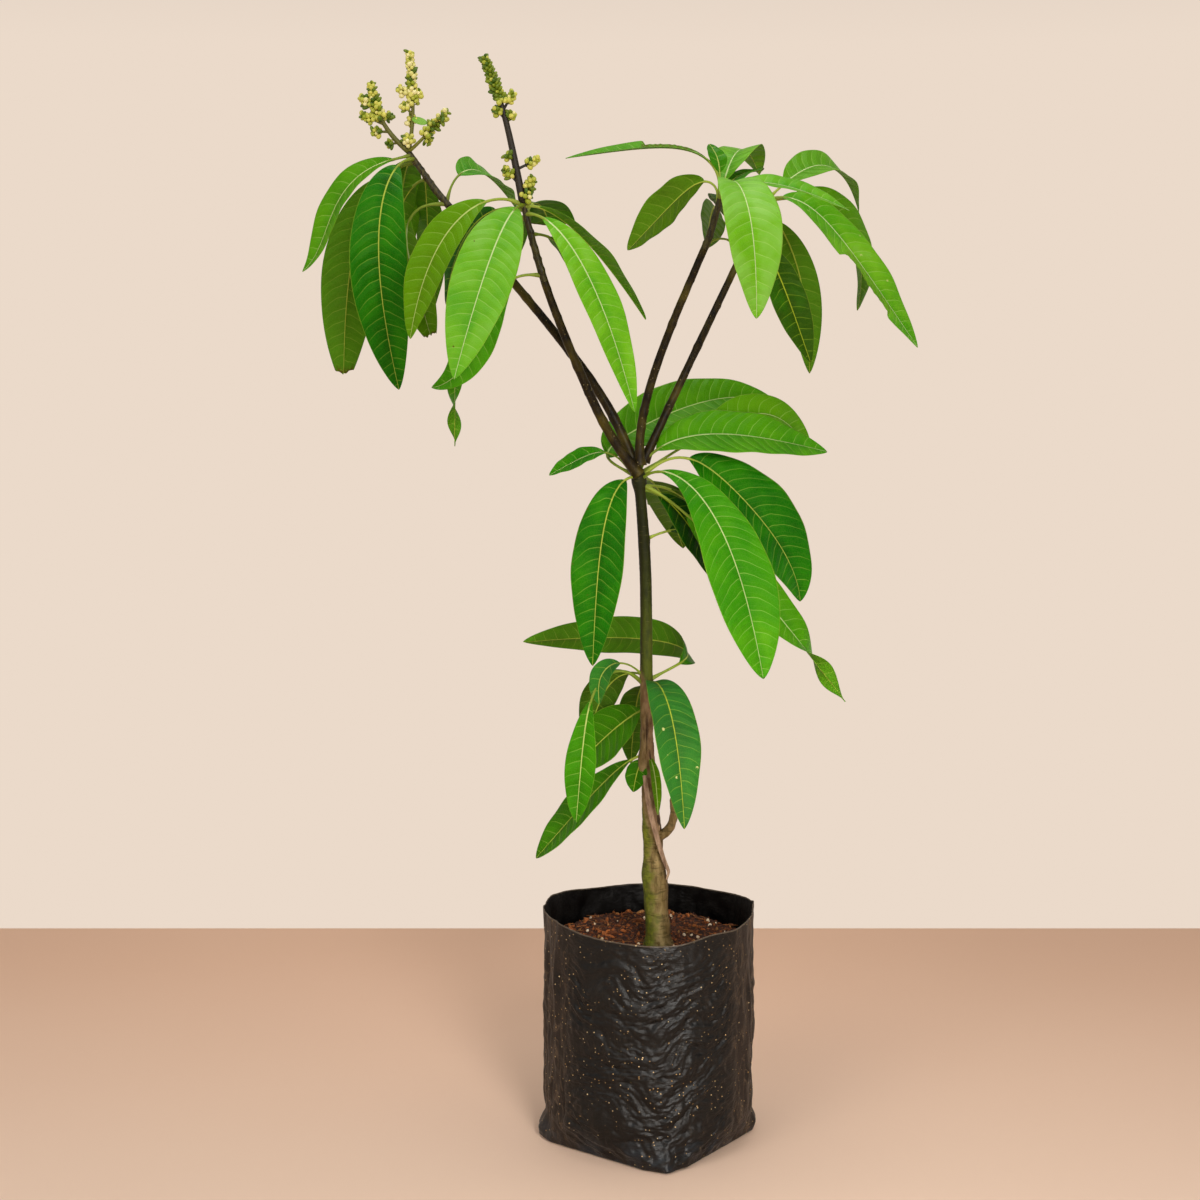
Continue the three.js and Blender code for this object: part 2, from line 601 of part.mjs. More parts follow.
// The solids of one stalk with its buds, followed by those of its side stalks.
function stalkSolids(start, row, random) {
  const stalk = { ...STALK, ...row };
  const growth = { ...stalk, fall: row.fall ?? stalk.rise };
  const curve = growCurve(start, growth, stalk.length);
  const solids = [limb(curve, (share) => stalk.radius * (1 - 0.4 * share), { sides: 4, rings: 4 })];
  const buds = Math.ceil(stalk.buds * BUDS_SHOWN);
  for (let bud = 0; bud < buds; bud += 1) {
    const share = lerp(stalk.from, 1, (bud + 0.5) / buds);
    const { point, along, side } = curve(share);
    const out = side.applyAxisAngle(along, radians(GOLDEN_ANGLE * bud));
    const reach = stalk.spread * (1.1 - 0.6 * share) * (0.8 + 0.4 * random());
    const size = BUD_RADIUS * (0.85 + 0.3 * random());
    const place = point.addScaledVector(out, reach).toArray();
    solids.push(toSolid(new THREE.OctahedronGeometry(size, 0).rotateX(random() * 3).translate(...place)));
  }
  const sides = stalk.sides.map((side) => stalkSolids(curve(side.at).point, side, random));
  return [...solids, ...sides.flat()];
}

function makeFlowers(bough, stalks, obstacles) {
  const tip = shootCurve(bough)(1);
  const start = tip.point.addScaledVector(tip.along, GAP + STALK.radius);
  const random = seededRandom(SEED);
  const solids = stalks.flatMap((stalk) => stalkSolids(start, stalk, random));
  return fuse(solids.filter((solid) => !touches(solid, obstacles)));
}

// ---------------------------------------------------------------------------------------------
// The whole plant
// ---------------------------------------------------------------------------------------------

const plant = new THREE.Group();

function addNode(name, solid, look) {
  const mesh = new THREE.Mesh(toGeometry(solid), new THREE.MeshStandardMaterial({ ...look, metalness: 0 }));
  mesh.name = name;
  plant.add(mesh);
}

addNode('grow_bag', makeBag(), COLOURS.bag);
addNode('potting_mix', makeMix(), COLOURS.mix);
addNode('trunk', makeTrunk(), COLOURS.bark);

// The trunk with room round it, and the solids that what is grown next has to stay clear of.
const trunkSpace = makeTrunk(GAP);
const grown = [];
for (const [place, bough] of Object.entries(BOUGHS)) {
  const solid = makeBough(bough);
  grown.push(solid);
  addNode(`bough_${place}`, solid, COLOURS.shoot);
}
for (const [place, bough] of Object.entries(BOUGHS)) {
  const crown = makeCrown(bough, LEAVES[place], [trunkSpace, ...grown]);
  grown.push(crown);
  addNode(`crown_${place}`, crown, COLOURS.leaf);
}
for (const [name, whorl] of Object.entries(WHORLS)) {
  const solid = makeWhorl(whorl, trunkSpace, grown);
  grown.push(solid);
  addNode(name, solid, COLOURS.leaf);
}
for (const [place, stalks] of Object.entries(FLOWERS)) {
  const flowers = makeFlowers(BOUGHS[place], stalks, grown);
  grown.push(flowers);
  addNode(`flowers_${place}`, flowers, COLOURS.flower);
}

export default plant;
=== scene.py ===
"""The looks of a young mango tree in a black plastic grow bag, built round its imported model.

The tree grows here by the same rule as in the part's source, with finer leaves, stalks and bark.
Lengths in that rule are millimetres, and Blender's meshes are in metres. Headings are degrees
round +Z, 0 along +X and 90 along +Y, and slopes are degrees above level.
"""

import math

import bpy
import numpy as np
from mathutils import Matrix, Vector, noise


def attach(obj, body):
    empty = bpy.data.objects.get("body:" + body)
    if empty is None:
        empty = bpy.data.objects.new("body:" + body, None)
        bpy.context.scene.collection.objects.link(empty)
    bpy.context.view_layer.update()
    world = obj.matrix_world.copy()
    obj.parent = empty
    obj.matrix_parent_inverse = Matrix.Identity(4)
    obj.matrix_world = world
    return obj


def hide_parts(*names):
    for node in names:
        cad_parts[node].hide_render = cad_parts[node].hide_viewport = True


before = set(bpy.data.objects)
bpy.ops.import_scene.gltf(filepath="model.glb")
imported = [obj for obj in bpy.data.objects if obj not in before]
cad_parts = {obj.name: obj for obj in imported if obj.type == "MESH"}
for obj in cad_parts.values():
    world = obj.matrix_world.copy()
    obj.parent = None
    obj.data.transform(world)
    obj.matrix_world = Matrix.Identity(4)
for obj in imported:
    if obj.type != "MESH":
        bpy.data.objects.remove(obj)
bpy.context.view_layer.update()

MM = 0.001
SEED = 7

# ---- Camera, light and floor ----

CAMERA = {"place": (-0.053, -2.2, 0.898), "pitch": 7.97, "lens": 62.6}
LIGHTS = [
    # name, place, what it points at, size, spread in degrees, watts, colour
    ("window", (0.75, -2.7, 2.0), (-0.03, 0, 0.6), 0.85, 180, 34, (1.0, 0.99, 0.96)),
    ("left fill", (-1.7, -2.1, 2.6), (-0.03, 0, 0.6), 1.7, 180, 23, (1.0, 0.98, 0.94)),
    ("top", (0.1, 0.2, 3.0), (-0.03, 0, 0.6), 1.6, 180, 24, (1.0, 0.99, 0.96)),
    ("low front", (0.42, -1.7, 0.46), (0, 0, 0.14), 0.8, 44, 1.3, (1.0, 0.96, 0.91)),
]
# The light from around, from the horizon up: place on the ramp and colour.
SKY = [(0.12, (0.83, 0.70, 0.59)), (0.55, (0.22, 0.21, 0.20))]
FLOOR = {"half width": 3.0, "front": -3.0, "back": 0.755}
# The floor's pale colour at the front, and a darker one at the back as painted shade.
FLOOR_COLOUR_AND_BACK_SHADE = ((0.93, 0.71, 0.56), (0.80, 0.50, 0.34))


def add_camera():
    camera = bpy.data.objects.new("camera", bpy.data.cameras.new("camera"))
    bpy.context.scene.collection.objects.link(camera)
    camera.location = CAMERA["place"]
    camera.rotation_euler = (math.radians(90 - CAMERA["pitch"]), 0, 0)
    camera.data.lens = CAMERA["lens"]
    camera.data.sensor_width = 36
    bpy.context.scene.camera = camera


def add_lights():
    for name, place, aim, size, spread, watts, colour in LIGHTS:
        lamp = bpy.data.lights.new(name, "AREA")
        lamp.shape = "DISK"
        lamp.size = size
        lamp.spread = math.radians(spread)
        lamp.energy = watts
        lamp.color = colour
        holder = bpy.data.objects.new(name, lamp)
        bpy.context.scene.collection.objects.link(holder)
        holder.location = place
        holder.rotation_euler = (Vector(aim) - Vector(place)).to_track_quat("-Z", "Y").to_euler()
    world = bpy.data.worlds.new("studio")
    world.use_nodes = True
    nodes, links = world.node_tree.nodes, world.node_tree.links
    ways = nodes.new("ShaderNodeTexCoord")
    split = nodes.new("ShaderNodeSeparateXYZ")
    shade = nodes.new("ShaderNodeValToRGB")
    set_stops(shade.color_ramp.elements, SKY)
    links.new(ways.outputs["Generated"], split.inputs[0])
    links.new(split.outputs["Z"], shade.inputs[0])
    links.new(shade.outputs[0], nodes["Background"].inputs["Color"])
    bpy.context.scene.world = world
    bpy.context.scene.view_settings.view_transform = "Standard"


# ---- Shader tools ----

def set_stops(elements, stops):
    """Gives a new colour ramp its stops, each of them a position and a colour."""
    elements.remove(elements[-1])
    for index, (position, colour) in enumerate(stops):
        element = elements.new(position) if index else elements[0]
        element.position = position
        element.color = (*colour, 1)


class Signal:
    """A shader output that can be used in sums: each operator adds one Math node."""

    def __init__(self, finish, socket):
        self.finish = finish
        self.socket = socket

    def math(self, operation, *others, clamp=False):
        settings = {"operation": operation, "use_clamp": clamp}
        return self.finish.node("ShaderNodeMath", settings, [self, *others])

    def __add__(self, other):
        return self.math("ADD", other)

    def __sub__(self, other):
        return self.math("SUBTRACT", other)

    def __rsub__(self, other):
        return self.finish.node("ShaderNodeMath", {"operation": "SUBTRACT"}, [other, self])

    def __mul__(self, other):
        return self.math("MULTIPLY", other)

    def __truediv__(self, other):
        return self.math("DIVIDE", other)

    def __pow__(self, other):
        return self.math("POWER", other)

    def __abs__(self):
        return self.math("ABSOLUTE")

    __radd__ = __add__
    __rmul__ = __mul__

    def clamped(self):
        return self.math("ADD", 0, clamp=True)

    def above(self, low, high):
        """Goes from 0 at low to 1 at high, smoothly."""
        settings = {"interpolation_type": "SMOOTHSTEP"}
        return self.finish.node("ShaderNodeMapRange", settings, [self, low, high, 0, 1])

    def below(self, low, high):
        return 1 - self.above(low, high)


class Finish:
    """One material and its node tree."""

    def __init__(self, name):
        self.material = bpy.data.materials.new(name)
        self.material.use_nodes = True
        self.tree = self.material.node_tree
        self.tree.nodes.clear()

    def node(self, kind, settings=None, values=(), output=0):
        """Adds a node. values are numbers, colours or signals by position, or by socket name."""
        made = self.tree.nodes.new(kind)
        for setting, value in (settings or {}).items():
            if setting == "stops":
                set_stops(made.color_ramp.elements, value)
            else:
                setattr(made, setting, value)
        pairs = values.items() if isinstance(values, dict) else enumerate(values)
        for key, value in pairs:
            if isinstance(value, Signal):
                self.tree.links.new(value.socket, made.inputs[key])
            elif value is not None:
                made.inputs[key].default_value = value
        return Signal(self, made.outputs[output]) if made.outputs else None

    def place(self):
        return self.node("ShaderNodeTexCoord", output="Object")

    def attribute(self, name):
        """The three numbers of a vector attribute of the mesh."""
        settings = {"attribute_name": name}
        return self.parts(self.node("ShaderNodeAttribute", settings, output="Vector"))

    def parts(self, vector):
        split = self.node("ShaderNodeSeparateXYZ", values=[vector])
        outputs = split.socket.node.outputs
        return [Signal(self, outputs[i]) for i in range(3)]

    def joined(self, x, y, z):
        return self.node("ShaderNodeCombineXYZ", values=[x, y, z])

    def stretched(self, vector, scale):
        return self.node("ShaderNodeMapping", values={"Vector": vector, "Scale": scale})

    def noise(self, vector, scale, detail=4.0, rough=0.55, twist=0.0):
        values = {"Vector": vector, "Scale": scale, "Detail": detail, "Roughness": rough}
        return self.node("ShaderNodeTexNoise", values={**values, "Distortion": twist})

    def cells(self, vector, scale, feature="F1", output="Distance"):
        settings, values = {"feature": feature}, {"Vector": vector, "Scale": scale}
        return self.node("ShaderNodeTexVoronoi", settings, values, output)

    def mix(self, share, one, other):
        colours = [value if isinstance(value, Signal) else (*value, 1) for value in (one, other)]
        values = {0: share, 6: colours[0], 7: colours[1]}
        made = self.node("ShaderNodeMix", {"data_type": "RGBA"}, values)
        return Signal(self, made.socket.node.outputs[2])

    def bump(self, height, distance, strength):
        values = {"Height": height, "Distance": distance, "Strength": strength}
        return self.node("ShaderNodeBump", values=values)

    def finished(self, colour, roughness, normal=None, shine=0.5, tint=(1, 1, 1)):
        """Adds the surface and returns the material."""
        values = {"Base Color": colour, "Roughness": roughness, "Normal": normal,
                  "Specular IOR Level": shine, "Specular Tint": (*tint, 1)}
        surface = self.node("ShaderNodeBsdfPrincipled", values=values)
        self.node("ShaderNodeOutputMaterial", values=[surface])
        return self.material


def linear(red, green, blue):
    """A colour as it is picked on a screen, 0 to 255, as the shader wants it."""
    return tuple((value / 255) ** 2.2 for value in (red, green, blue))


# ---- The growth rule, in millimetres, as in the part's source ----

GAP = 0.3
MIX_LEVEL = 222
BAG = {"height": 247, "mouth": 113, "half side": 96, "corner": 121, "turn": 8, "square below": 38}
TRUNK = {
    "foot": (10, -30), "lean": (-23, 12), "sway": 3, "fork": 727,
    "girths": [
        (222, 15.5), (232, 13.2), (260, 12), (292, 12.6), (318, 10.4), (345, 8.9), (404, 8),
        (440, 7.4), (470, 6.8), (640, 6.2), (704, 5.8), (718, 8), (727, 7.5),
    ],
}
SPUR = {
    "height": 338, "heading": -25, "rise": 10, "fall": 105, "length": 62, "bend": 0.4,
    "root": 6, "tip": 3.2,
}
BOUGHS = {
    "left_outer": dict(
        start=(-2, 3, 3), heading=163, rise=68, fall=48, length=346, bend=0.22, sharp=2,
        root=5.4, tip=3.8, shoot=dict(heading=163, rise=47, fall=54, length=74),
    ),
    "left_inner": dict(
        start=(0, -6, -1), heading=200, rise=51, fall=65.5, length=224, bend=0.24, sharp=2.3,
        curl=5, root=5.3, tip=4, shoot=dict(heading=200, rise=71, fall=75, length=82),
    ),
    "right_inner": dict(
        start=(2, -4, 8), heading=-22, rise=95, fall=65, length=235, bend=0.2, sharp=1.3,
        root=4.6, tip=3.8, shoot=dict(heading=-22, rise=64, fall=76, length=58),
    ),
    "right_outer": dict(
        start=(6, 4, 12), heading=28, rise=62, fall=61, length=255, bend=0.2, sharp=1.3,
        root=4.4, tip=3.6, shoot=dict(heading=28, rise=60, fall=62, length=60),
    ),
}
SHOOT_TIP = 2.8

# What a leaf's row may leave out. tone goes from dark to light green: partly each leaf's own green
# and partly painted shade, with leaves deep in the crown given dark tones. olive goes from
# blue-green at -1 to yellow-green at 1, and its yellow is partly the leaf's own colour and partly a
# painted glow of light through leaves lit from behind. blunt rounds a cut end, and scars are pale
# dead patches.
LEAF = dict(
    roll=0, twist=0, late=1, fold=12, turn=0, turn_at=0.2, bend=0.25, sharp=1.3, curl=0,
    full=0.9, cut=1, blunt=0, bites=[], wave=1, olive=0, scars=0,
)


def leaf(up, heading, rise, fall, petiole, length, width, tone, **more):
    """A leaf's row. up is its foot: a share of its shoot's length or a height on the trunk."""
    way = {"up": up, "heading": heading, "rise": rise, "fall": fall}
    size = {"petiole": petiole, "length": length, "width": width, "tone": tone}
    return {**LEAF, **way, **size, **more}


LEAVES = {
    "left_outer": [
        leaf(0.92, 191, -12, -94, 19, 160, 38, 0.45, roll=-38, fold=20, bend=0.44, sharp=1.6,
             curl=54, olive=0.2),
        leaf(0.85, 240, 0, -110, 30, 250, 62, 0.22, roll=-33, bend=0.2, sharp=1.2),
        leaf(0.8, 107, 20, -88, 30, 150, 48, 0.35, bend=0.3, olive=0.25),
        leaf(0.04, 185, 0, -106, 45, 135, 48, 0.48, roll=-50, twist=-20, bend=0.22, sharp=2.5,
             cut=0.93, olive=0.4),
        leaf(0.8, 150, -5, -88, 45, 236, 64, 0.28, roll=60, bend=0.2, cut=0.92, blunt=0.4,
             olive=0.15),
        leaf(0.05, 55, 72, -38, 38, 110, 52, 0.5, roll=30, bend=0.33, sharp=1.5, olive=0.1),
        leaf(0.6, 92, 5, -75, 35, 175, 46, 0.2, roll=42, olive=0.1),
        leaf(0.5, 125, 0, -75, 30, 170, 50, 0.2, olive=0.1),
    ],
    "left_inner": [
        leaf(0.97, 245, 0, -60, 15, 215, 62, 0.7, roll=-27, bend=0.1, sharp=1, olive=-0.14),
        leaf(0.08, 195, 5, -80, 30, 145, 44, 0.42, roll=-60, bend=0.22, sharp=2, curl=75,
             olive=0.1),
        leaf(0.8, 138, 10, -90, 40, 250, 19, 0.34, full=3, roll=140, twist=375, late=4, bend=0.2,
             olive=0.1),
        leaf(0.95, 198, 35, -80, 40, 165, 44, 0.36, roll=-50, bend=0.22, sharp=1.1, olive=0.45),
        leaf(0.9, 150, 15, -80, 35, 120, 40, 0.1, roll=-50, bend=0.35),
        leaf(0.85, -30, 14, -74, 20, 224, 41, 0.67, roll=35, bend=0.1, sharp=0.9),
        leaf(0.94, 15, 22, -55, 15, 162, 44, 0.5, roll=5, fold=20, bend=0.1, sharp=1, olive=0.05),
        leaf(0.85, 75, 35, -85, 25, 170, 54, 0.2, bend=0.35, cut=0.42),
        leaf(0.7, 105, 25, -60, 30, 160, 48, 0.15, bend=0.4),
        leaf(0.6, 48, 5, -60, 25, 150, 48, 0.1),
    ],
    "right_inner": [
        leaf(0.9, 175, 92, -8, 40, 150, 38, 0.58, roll=-15, bend=0.22, sharp=2,
             bites=[[-1, 0, 0.47, 0.35]], wave=0.2, olive=0.15),
        leaf(0.75, 190, 92, -46, 34, 106, 50, 0.25, roll=50, bend=0.2, sharp=3, olive=0.3),
        leaf(0.95, 69, 52, -35, 20, 140, 42, 0.62, bend=0.55, sharp=1.5, olive=0.15),
        leaf(0.95, 120, 88, 40, 24, 36, 22, 0.3, bend=0.6, sharp=2, olive=0.1),
        leaf(0.95, 50, 45, 5, 15, 65, 36, 0.25, bend=0.4, olive=0.1),
        leaf(0.92, -75, 40, -88, 25, 188, 60, 0.76, bend=0.3),
        leaf(0.08, 30, 35, -80, 28, 80, 44, 0.4, bend=0.3, olive=0.1),
        leaf(0.96, -40, 50, 10, 3, 30, 20, 0.45, olive=0.2),
        leaf(0.95, 10, 42, -24, 25, 118, 38, 0.66, roll=25, bend=0.22, sharp=1.2),
        leaf(0.7, 92, 20, -30, 25, 110, 36, 0.1, roll=50, olive=0.1),
        leaf(0.7, 78, 30, -30, 25, 120, 42, 0.1, bend=0.4, olive=0.1),
    ],
    "right_outer": [
        leaf(0.95, 40, 35, -66, 30, 144, 50, 0.52, roll=30, bend=0.62, sharp=1.8, olive=0.25),
        leaf(0.95, 0, 10, -55, 15, 222, 57, 0.64, roll=42, bend=0.14, sharp=1.8,
             bites=[[-1, 0.42, 0.78, 0.45]], olive=0.05, scars=0.5),
        leaf(0.9, 25, 10, -100, 30, 175, 50, 0.35, roll=60, bend=0.5, sharp=1.5, olive=0.3),
        leaf(0.3, -34, -42, -68, 18, 138, 40, 0.02, roll=45, bend=0.15, olive=0.1),
        leaf(0.8, 24, -42, -88, 22, 170, 38, 0.22, roll=-60, bend=0.3, sharp=1.2, olive=0.2),
        leaf(0.7, 85, -5, -60, 25, 115, 44, 0.15, olive=0.1),
    ],
}

WHORLS = {
    "whorl_fork": [
        leaf(717, -38, 50, -77, 28, 261, 70, 0.48, full=1.35, roll=36, bend=0.155, sharp=1.15),
        leaf(722, 2, 36, -45, 58, 200, 80, 0.24, full=1, roll=58, bend=0.2, sharp=3, curl=-40),
        leaf(715, -14, -15, -52, 60, 255, 44, 0.5, full=0.85, roll=79, twist=-273, late=4,
             bend=0.1, sharp=1, wave=2.2, olive=0.1),
        leaf(728, 10, 62, -14, 30, 190, 66, 0.5, roll=40, fold=10, bend=0.2, olive=0.1),
        leaf(722, 185, 28, -14, 44, 232, 66, 0.42, roll=46, bend=0.75, sharp=1.5, turn=-165,
             olive=0.2, turn_at=0.16),
        leaf(725, 22, 29, -50, 54, 180, 50, 0.45, full=1.35, roll=50, bend=0.7, sharp=2.5,
             olive=0.3),
        leaf(712, 185, 58, -28, 53, 64, 30, 0.45, roll=-30, bend=0.42, sharp=3),
        leaf(722, 229, 12, -86, 22, 203, 57, 0.22, roll=-24, bend=0.14, sharp=1.5),
        leaf(709, -10, 0, -62, 20, 130, 44, 0.05, roll=40, bend=0.15),
        leaf(720, 68, 5, -48, 40, 130, 50, 0.05, olive=0.1),
        leaf(712, 42, 5, -55, 45, 180, 60, 0.05),
        leaf(716, 86, 20, -25, 40, 170, 48, 0.1, roll=60, olive=0.1),
    ],
    "leaf_below_fork": [
        leaf(656, 15, 25, -50, 30, 130, 44, 0, roll=40, bend=0.4),
    ],
    "whorl_lower": [
        leaf(506, 12, 28, -6, 42, 228, 52, 0.26, roll=62, bend=0.3, turn=160, olive=0.1,
             turn_at=0.25),
        leaf(500, 197, 46, -85, 80, 134, 34, 0.34, full=1.2, roll=-60, bend=0.21, sharp=2.5,
             olive=0.08),
        leaf(509, 200, 46, -95, 36, 56, 28, 0.25, roll=-30, bend=0.5, sharp=1.8, olive=-0.4),
        leaf(512, 150, 15, -76, 22, 100, 42, 0, roll=42, bend=0.28, sharp=1.5),
        leaf(478, 150, -28, -46, 8, 116, 54, 0.22, roll=-78, olive=0.15),
        leaf(497, -70, 50, -80, 15, 187, 50, 0.17, bend=0.2, olive=-0.4, scars=1),
        leaf(505, 60, 0, -75, 25, 130, 38, 0.1, olive=-0.2),
        leaf(500, 100, 5, -72, 25, 120, 38, 0.1),
    ],
    "whorl_graft": [
        leaf(428, 174, -10, -50, 18, 152, 46, 0.22, full=1.15, roll=-40, bend=0.1, sharp=1.5,
             olive=0.15),
        leaf(428, 200, -40, -80, 8, 36, 26, 0.2, roll=-40, olive=0.1),
        leaf(430, -60, -40, -85, 5, 64, 12, 0.4, olive=0.4),
    ],
}



def sprig(at, heading, rise, length, buds, **more):
    """A side stalk's row. at is its foot, as a share of the main stalk's length."""
    return {"at": at, "heading": heading, "rise": rise, "length": length, "buds": buds, **more}


# bare is the share of a stalk's length below its first bud.
FLOWERS = {
    "left_outer": [
        dict(heading=175, rise=40, fall=82, bend=0.5, length=84, radius=3, bloom="bud", dark=0.6,
             buds=26, spread=6, bare=0.5, sides=[
            sprig(0.17, 180, -10, 12, 4), sprig(0.35, 180, 0, 18, 5), sprig(0.46, 180, 22, 26, 8),
            sprig(0.63, 180, 40, 24, 8), sprig(0.5, 60, 30, 16, 5),
        ]),
        dict(heading=30, rise=78, fall=97, bend=0.4, length=104, radius=2.4, bloom="cream",
             dark=0.4, buds=30, spread=5.4, bare=0.45, sides=[
            sprig(0.1, 250, 20, 10, 5, bare=0), sprig(0.27, 100, 50, 12, 5, bare=0),
            sprig(0.38, 190, 42, 15, 5), sprig(0.53, 185, 38, 19, 5), sprig(0.53, 0, 50, 11, 4),
        ]),
        dict(heading=-12, rise=38, fall=46, length=60, radius=2.1, buds=15, spread=5,
             bare=0.35, sides=[
            sprig(0.4, -20, -50, 9, 3, bare=0), sprig(0.55, 40, 60, 10, 4),
            sprig(0.8, -60, 10, 8, 3, bare=0),
        ]),
    ],
    "left_inner": [
        dict(heading=195, rise=79, fall=67, bend=0.65, sharp=2, length=148, radius=4.2,
             bloom="bract", dark=1, buds=34, spread=5.6, bare=0.7, sides=[
            sprig(0.03, 0, 62, 24, 6), sprig(0.03, -30, 28, 11, 4, bare=0),
            sprig(0.13, 190, 45, 22, 6), sprig(0.23, 0, 25, 24, 6), sprig(0.28, 190, 40, 11, 3),
            sprig(0.54, 0, 60, 12, 5), sprig(0.57, 190, 45, 15, 6), sprig(0.63, -10, 58, 20, 8),
            sprig(0.66, 250, 50, 9, 3),
        ]),
    ],
}


def smooth(share):
    share = np.clip(share, 0, 1)
    return share * share * (3 - 2 * share)


def lerp(low, high, share):
    return low + (high - low) * share


def ease(share, middle, sharp):
    """Goes from 0 to 1 and passes a half at middle. The larger sharp is, the more sudden it is."""
    done = (share * (1 - middle)) ** sharp
    left = ((1 - share) * middle) ** sharp
    return done / (done + left)


def stacked(*values):
    """Values side by side, as the numbers of vectors."""
    return np.stack(np.broadcast_arrays(*values), -1)


def direction(heading, slope):
    heading, slope = np.radians(heading), np.radians(slope)
    level = np.cos(slope)
    return stacked(level * np.cos(heading), level * np.sin(heading), np.sin(slope))


def bell(distance, width):
    """1 at no distance, and next to nothing past twice the width."""
    return np.exp(-((distance / width) ** 2))


def turned_from(heading, other):
    """How far a heading is from another one, from -180 to 180 degrees."""
    return (heading - other + 180) % 360 - 180


class Curve:
    """A curve that leaves start along a heading and bends from one slope to another."""

    STEPS = 48

    def __init__(self, start, growth, length):
        self.growth = growth
        self.length = length
        shares = (np.arange(self.STEPS) + 0.5) / self.STEPS
        strides = self.along(shares) * length / self.STEPS
        self.points = np.vstack([[start], np.asarray(start) + np.cumsum(strides, 0)])

    def heading(self, shares):
        turn = self.growth.get("turn", 0)
        return self.growth["heading"] + turn * ease(shares, self.growth.get("turn_at", 0.2), 2.5)

    def along(self, shares):
        growth = self.growth
        bent = ease(shares, growth.get("bend", 0.25), growth.get("sharp", 1.3))
        slope = lerp(growth["rise"], growth.get("fall", growth["rise"]), bent)
        return direction(self.heading(shares), slope + growth.get("curl", 0) * shares**4)

    def at(self, shares):
        """The points at these shares of the length, with direction, side and upper normal."""
        shares = np.clip(np.atleast_1d(np.asarray(shares, float)), 0, 1)
        place = shares * self.STEPS
        step = np.minimum(place.astype(int), self.STEPS - 1)
        part = (place - step)[:, None]
        points = self.points[step] * (1 - part) + self.points[step + 1] * part
        along = self.along(shares)
        side = direction(self.heading(shares) + 90, 0 * shares)
        return points, along, side, np.cross(along, side)


def trunk_axis(heights):
    share = (np.atleast_1d(np.asarray(heights, float)) - MIX_LEVEL) / (TRUNK["fork"] - MIX_LEVEL)
    sway = TRUNK["sway"] * np.sin(2 * np.pi * share**1.4)
    x = TRUNK["foot"][0] + TRUNK["lean"][0] * share - sway
    y = TRUNK["foot"][1] + TRUNK["lean"][1] * share
    return stacked(x, y, MIX_LEVEL + share * (TRUNK["fork"] - MIX_LEVEL))


def trunk_radius(heights):
    places, radii = zip(*TRUNK["girths"])
    index = np.clip(np.searchsorted(places, heights), 1, len(places) - 1)
    low, high = np.take(places, index - 1), np.take(places, index)
    share = smooth((heights - low) / (high - low))
    return lerp(np.take(radii, index - 1), np.take(radii, index), share)


def bough_curve(bough):
    return Curve(trunk_axis(TRUNK["fork"])[0] + np.array(bough["start"]), bough, bough["length"])


def shoot_curve(bough):
    points, along, _, _ = bough_curve(bough).at(1)
    return Curve(points[0] + GAP * along[0], bough["shoot"], bough["shoot"]["length"])


# ---- Meshes from arrays ----

class Part:
    """A body to be joined with others: vertices in millimetres, quads, corner places in
    the part's own square of the UV map, and one vector attribute of the vertices per name."""

    def __init__(self, verts, quads, places, **attributes):
        self.verts = verts
        self.quads = quads
        self.places = places
        self.attributes = {
            name: np.broadcast_to(value, verts.shape) for name, value in attributes.items()
        }
        if self.volume() < 0:
            self.quads = quads[:, ::-1]
            self.places = places[:, ::-1]

    def volume(self):
        corners = self.verts[self.quads]
        one = np.cross(corners[:, 1] - corners[:, 0], corners[:, 2] - corners[:, 0])
        other = np.cross(corners[:, 2] - corners[:, 0], corners[:, 3] - corners[:, 0])
        return ((one + other) * corners[:, 0]).sum()


def grid_quads(rows, columns):
    """The quads and corner places of a grid that is closed round its columns."""
    row, column = np.meshgrid(np.arange(rows - 1), np.arange(columns), indexing="ij")
    row, column = row.ravel(), column.ravel()
    after = (column + 1) % columns
    quads = np.stack([row * columns + column, row * columns + after,
                      (row + 1) * columns + after, (row + 1) * columns + column], 1)
    u = np.stack([column, column + 1, column + 1, column], 1) / columns
    v = 0.03 + 0.94 * np.stack([row, row, row + 1, row + 1], 1) / (rows - 1)
    return quads, np.stack([u, v], -1)


def end_quads(start, columns, edge):
    """Closes a ring with a ladder of quads, which joins each vertex to the one opposite it."""
    half = columns // 2
    step = np.arange(half - 1)
    quads = start + np.stack([step, step + 1, columns - 2 - step, columns - 1 - step], 1)
    u = np.stack([step, step + 1, step + 1, step], 1) / half
    v = np.broadcast_to([edge, edge, 0.5 + (edge - 0.5) * 0.96, 0.5 + (edge - 0.5) * 0.96], u.shape)
    return quads, np.stack([u, v], -1)


def swept(rings, **attributes):
    """A body from rings of vertices, rows by columns. An even count of columns closes it, and an
    odd one leaves a narrow gap at each end."""
    rows, columns = rings.shape[:2]
    quads, places = grid_quads(rows, columns)
    low, low_places = end_quads(0, columns, 0)
    high, high_places = end_quads((rows - 1) * columns, columns, 1)
    quads = np.vstack([quads, low[:, ::-1], high])
    places = np.vstack([places, low_places[:, ::-1], high_places])
    flat = {
        name: np.broadcast_to(value, rings.shape).reshape(-1, 3)
        for name, value in attributes.items()
    }
    return Part(rings.reshape(-1, 3), quads, places, **flat)


def ways_out(sides, side, normal):
    """The directions away from a line of points, as many per point as a ring has sides."""
    turn = np.arange(sides)[:, None] / sides * 2 * np.pi
    return np.cos(turn) * normal[:, None] + np.sin(turn) * side[:, None]


def tube(points, out, radii, **attributes):
    """A body round a line of points, whose surface lies these radii from them along the ways
    out. radii has one value per point, or one per vertex."""
    radii = np.asarray(radii, float)
    radii = radii[:, None] if radii.ndim == 1 else radii
    return swept(points[:, None] + radii[..., None] * out, **attributes)


def curve_tube(curve, shares, radii, sides, **attributes):
    points, _, side, normal = curve.at(shares)
    return tube(points, ways_out(sides, side, normal), radii, **attributes)


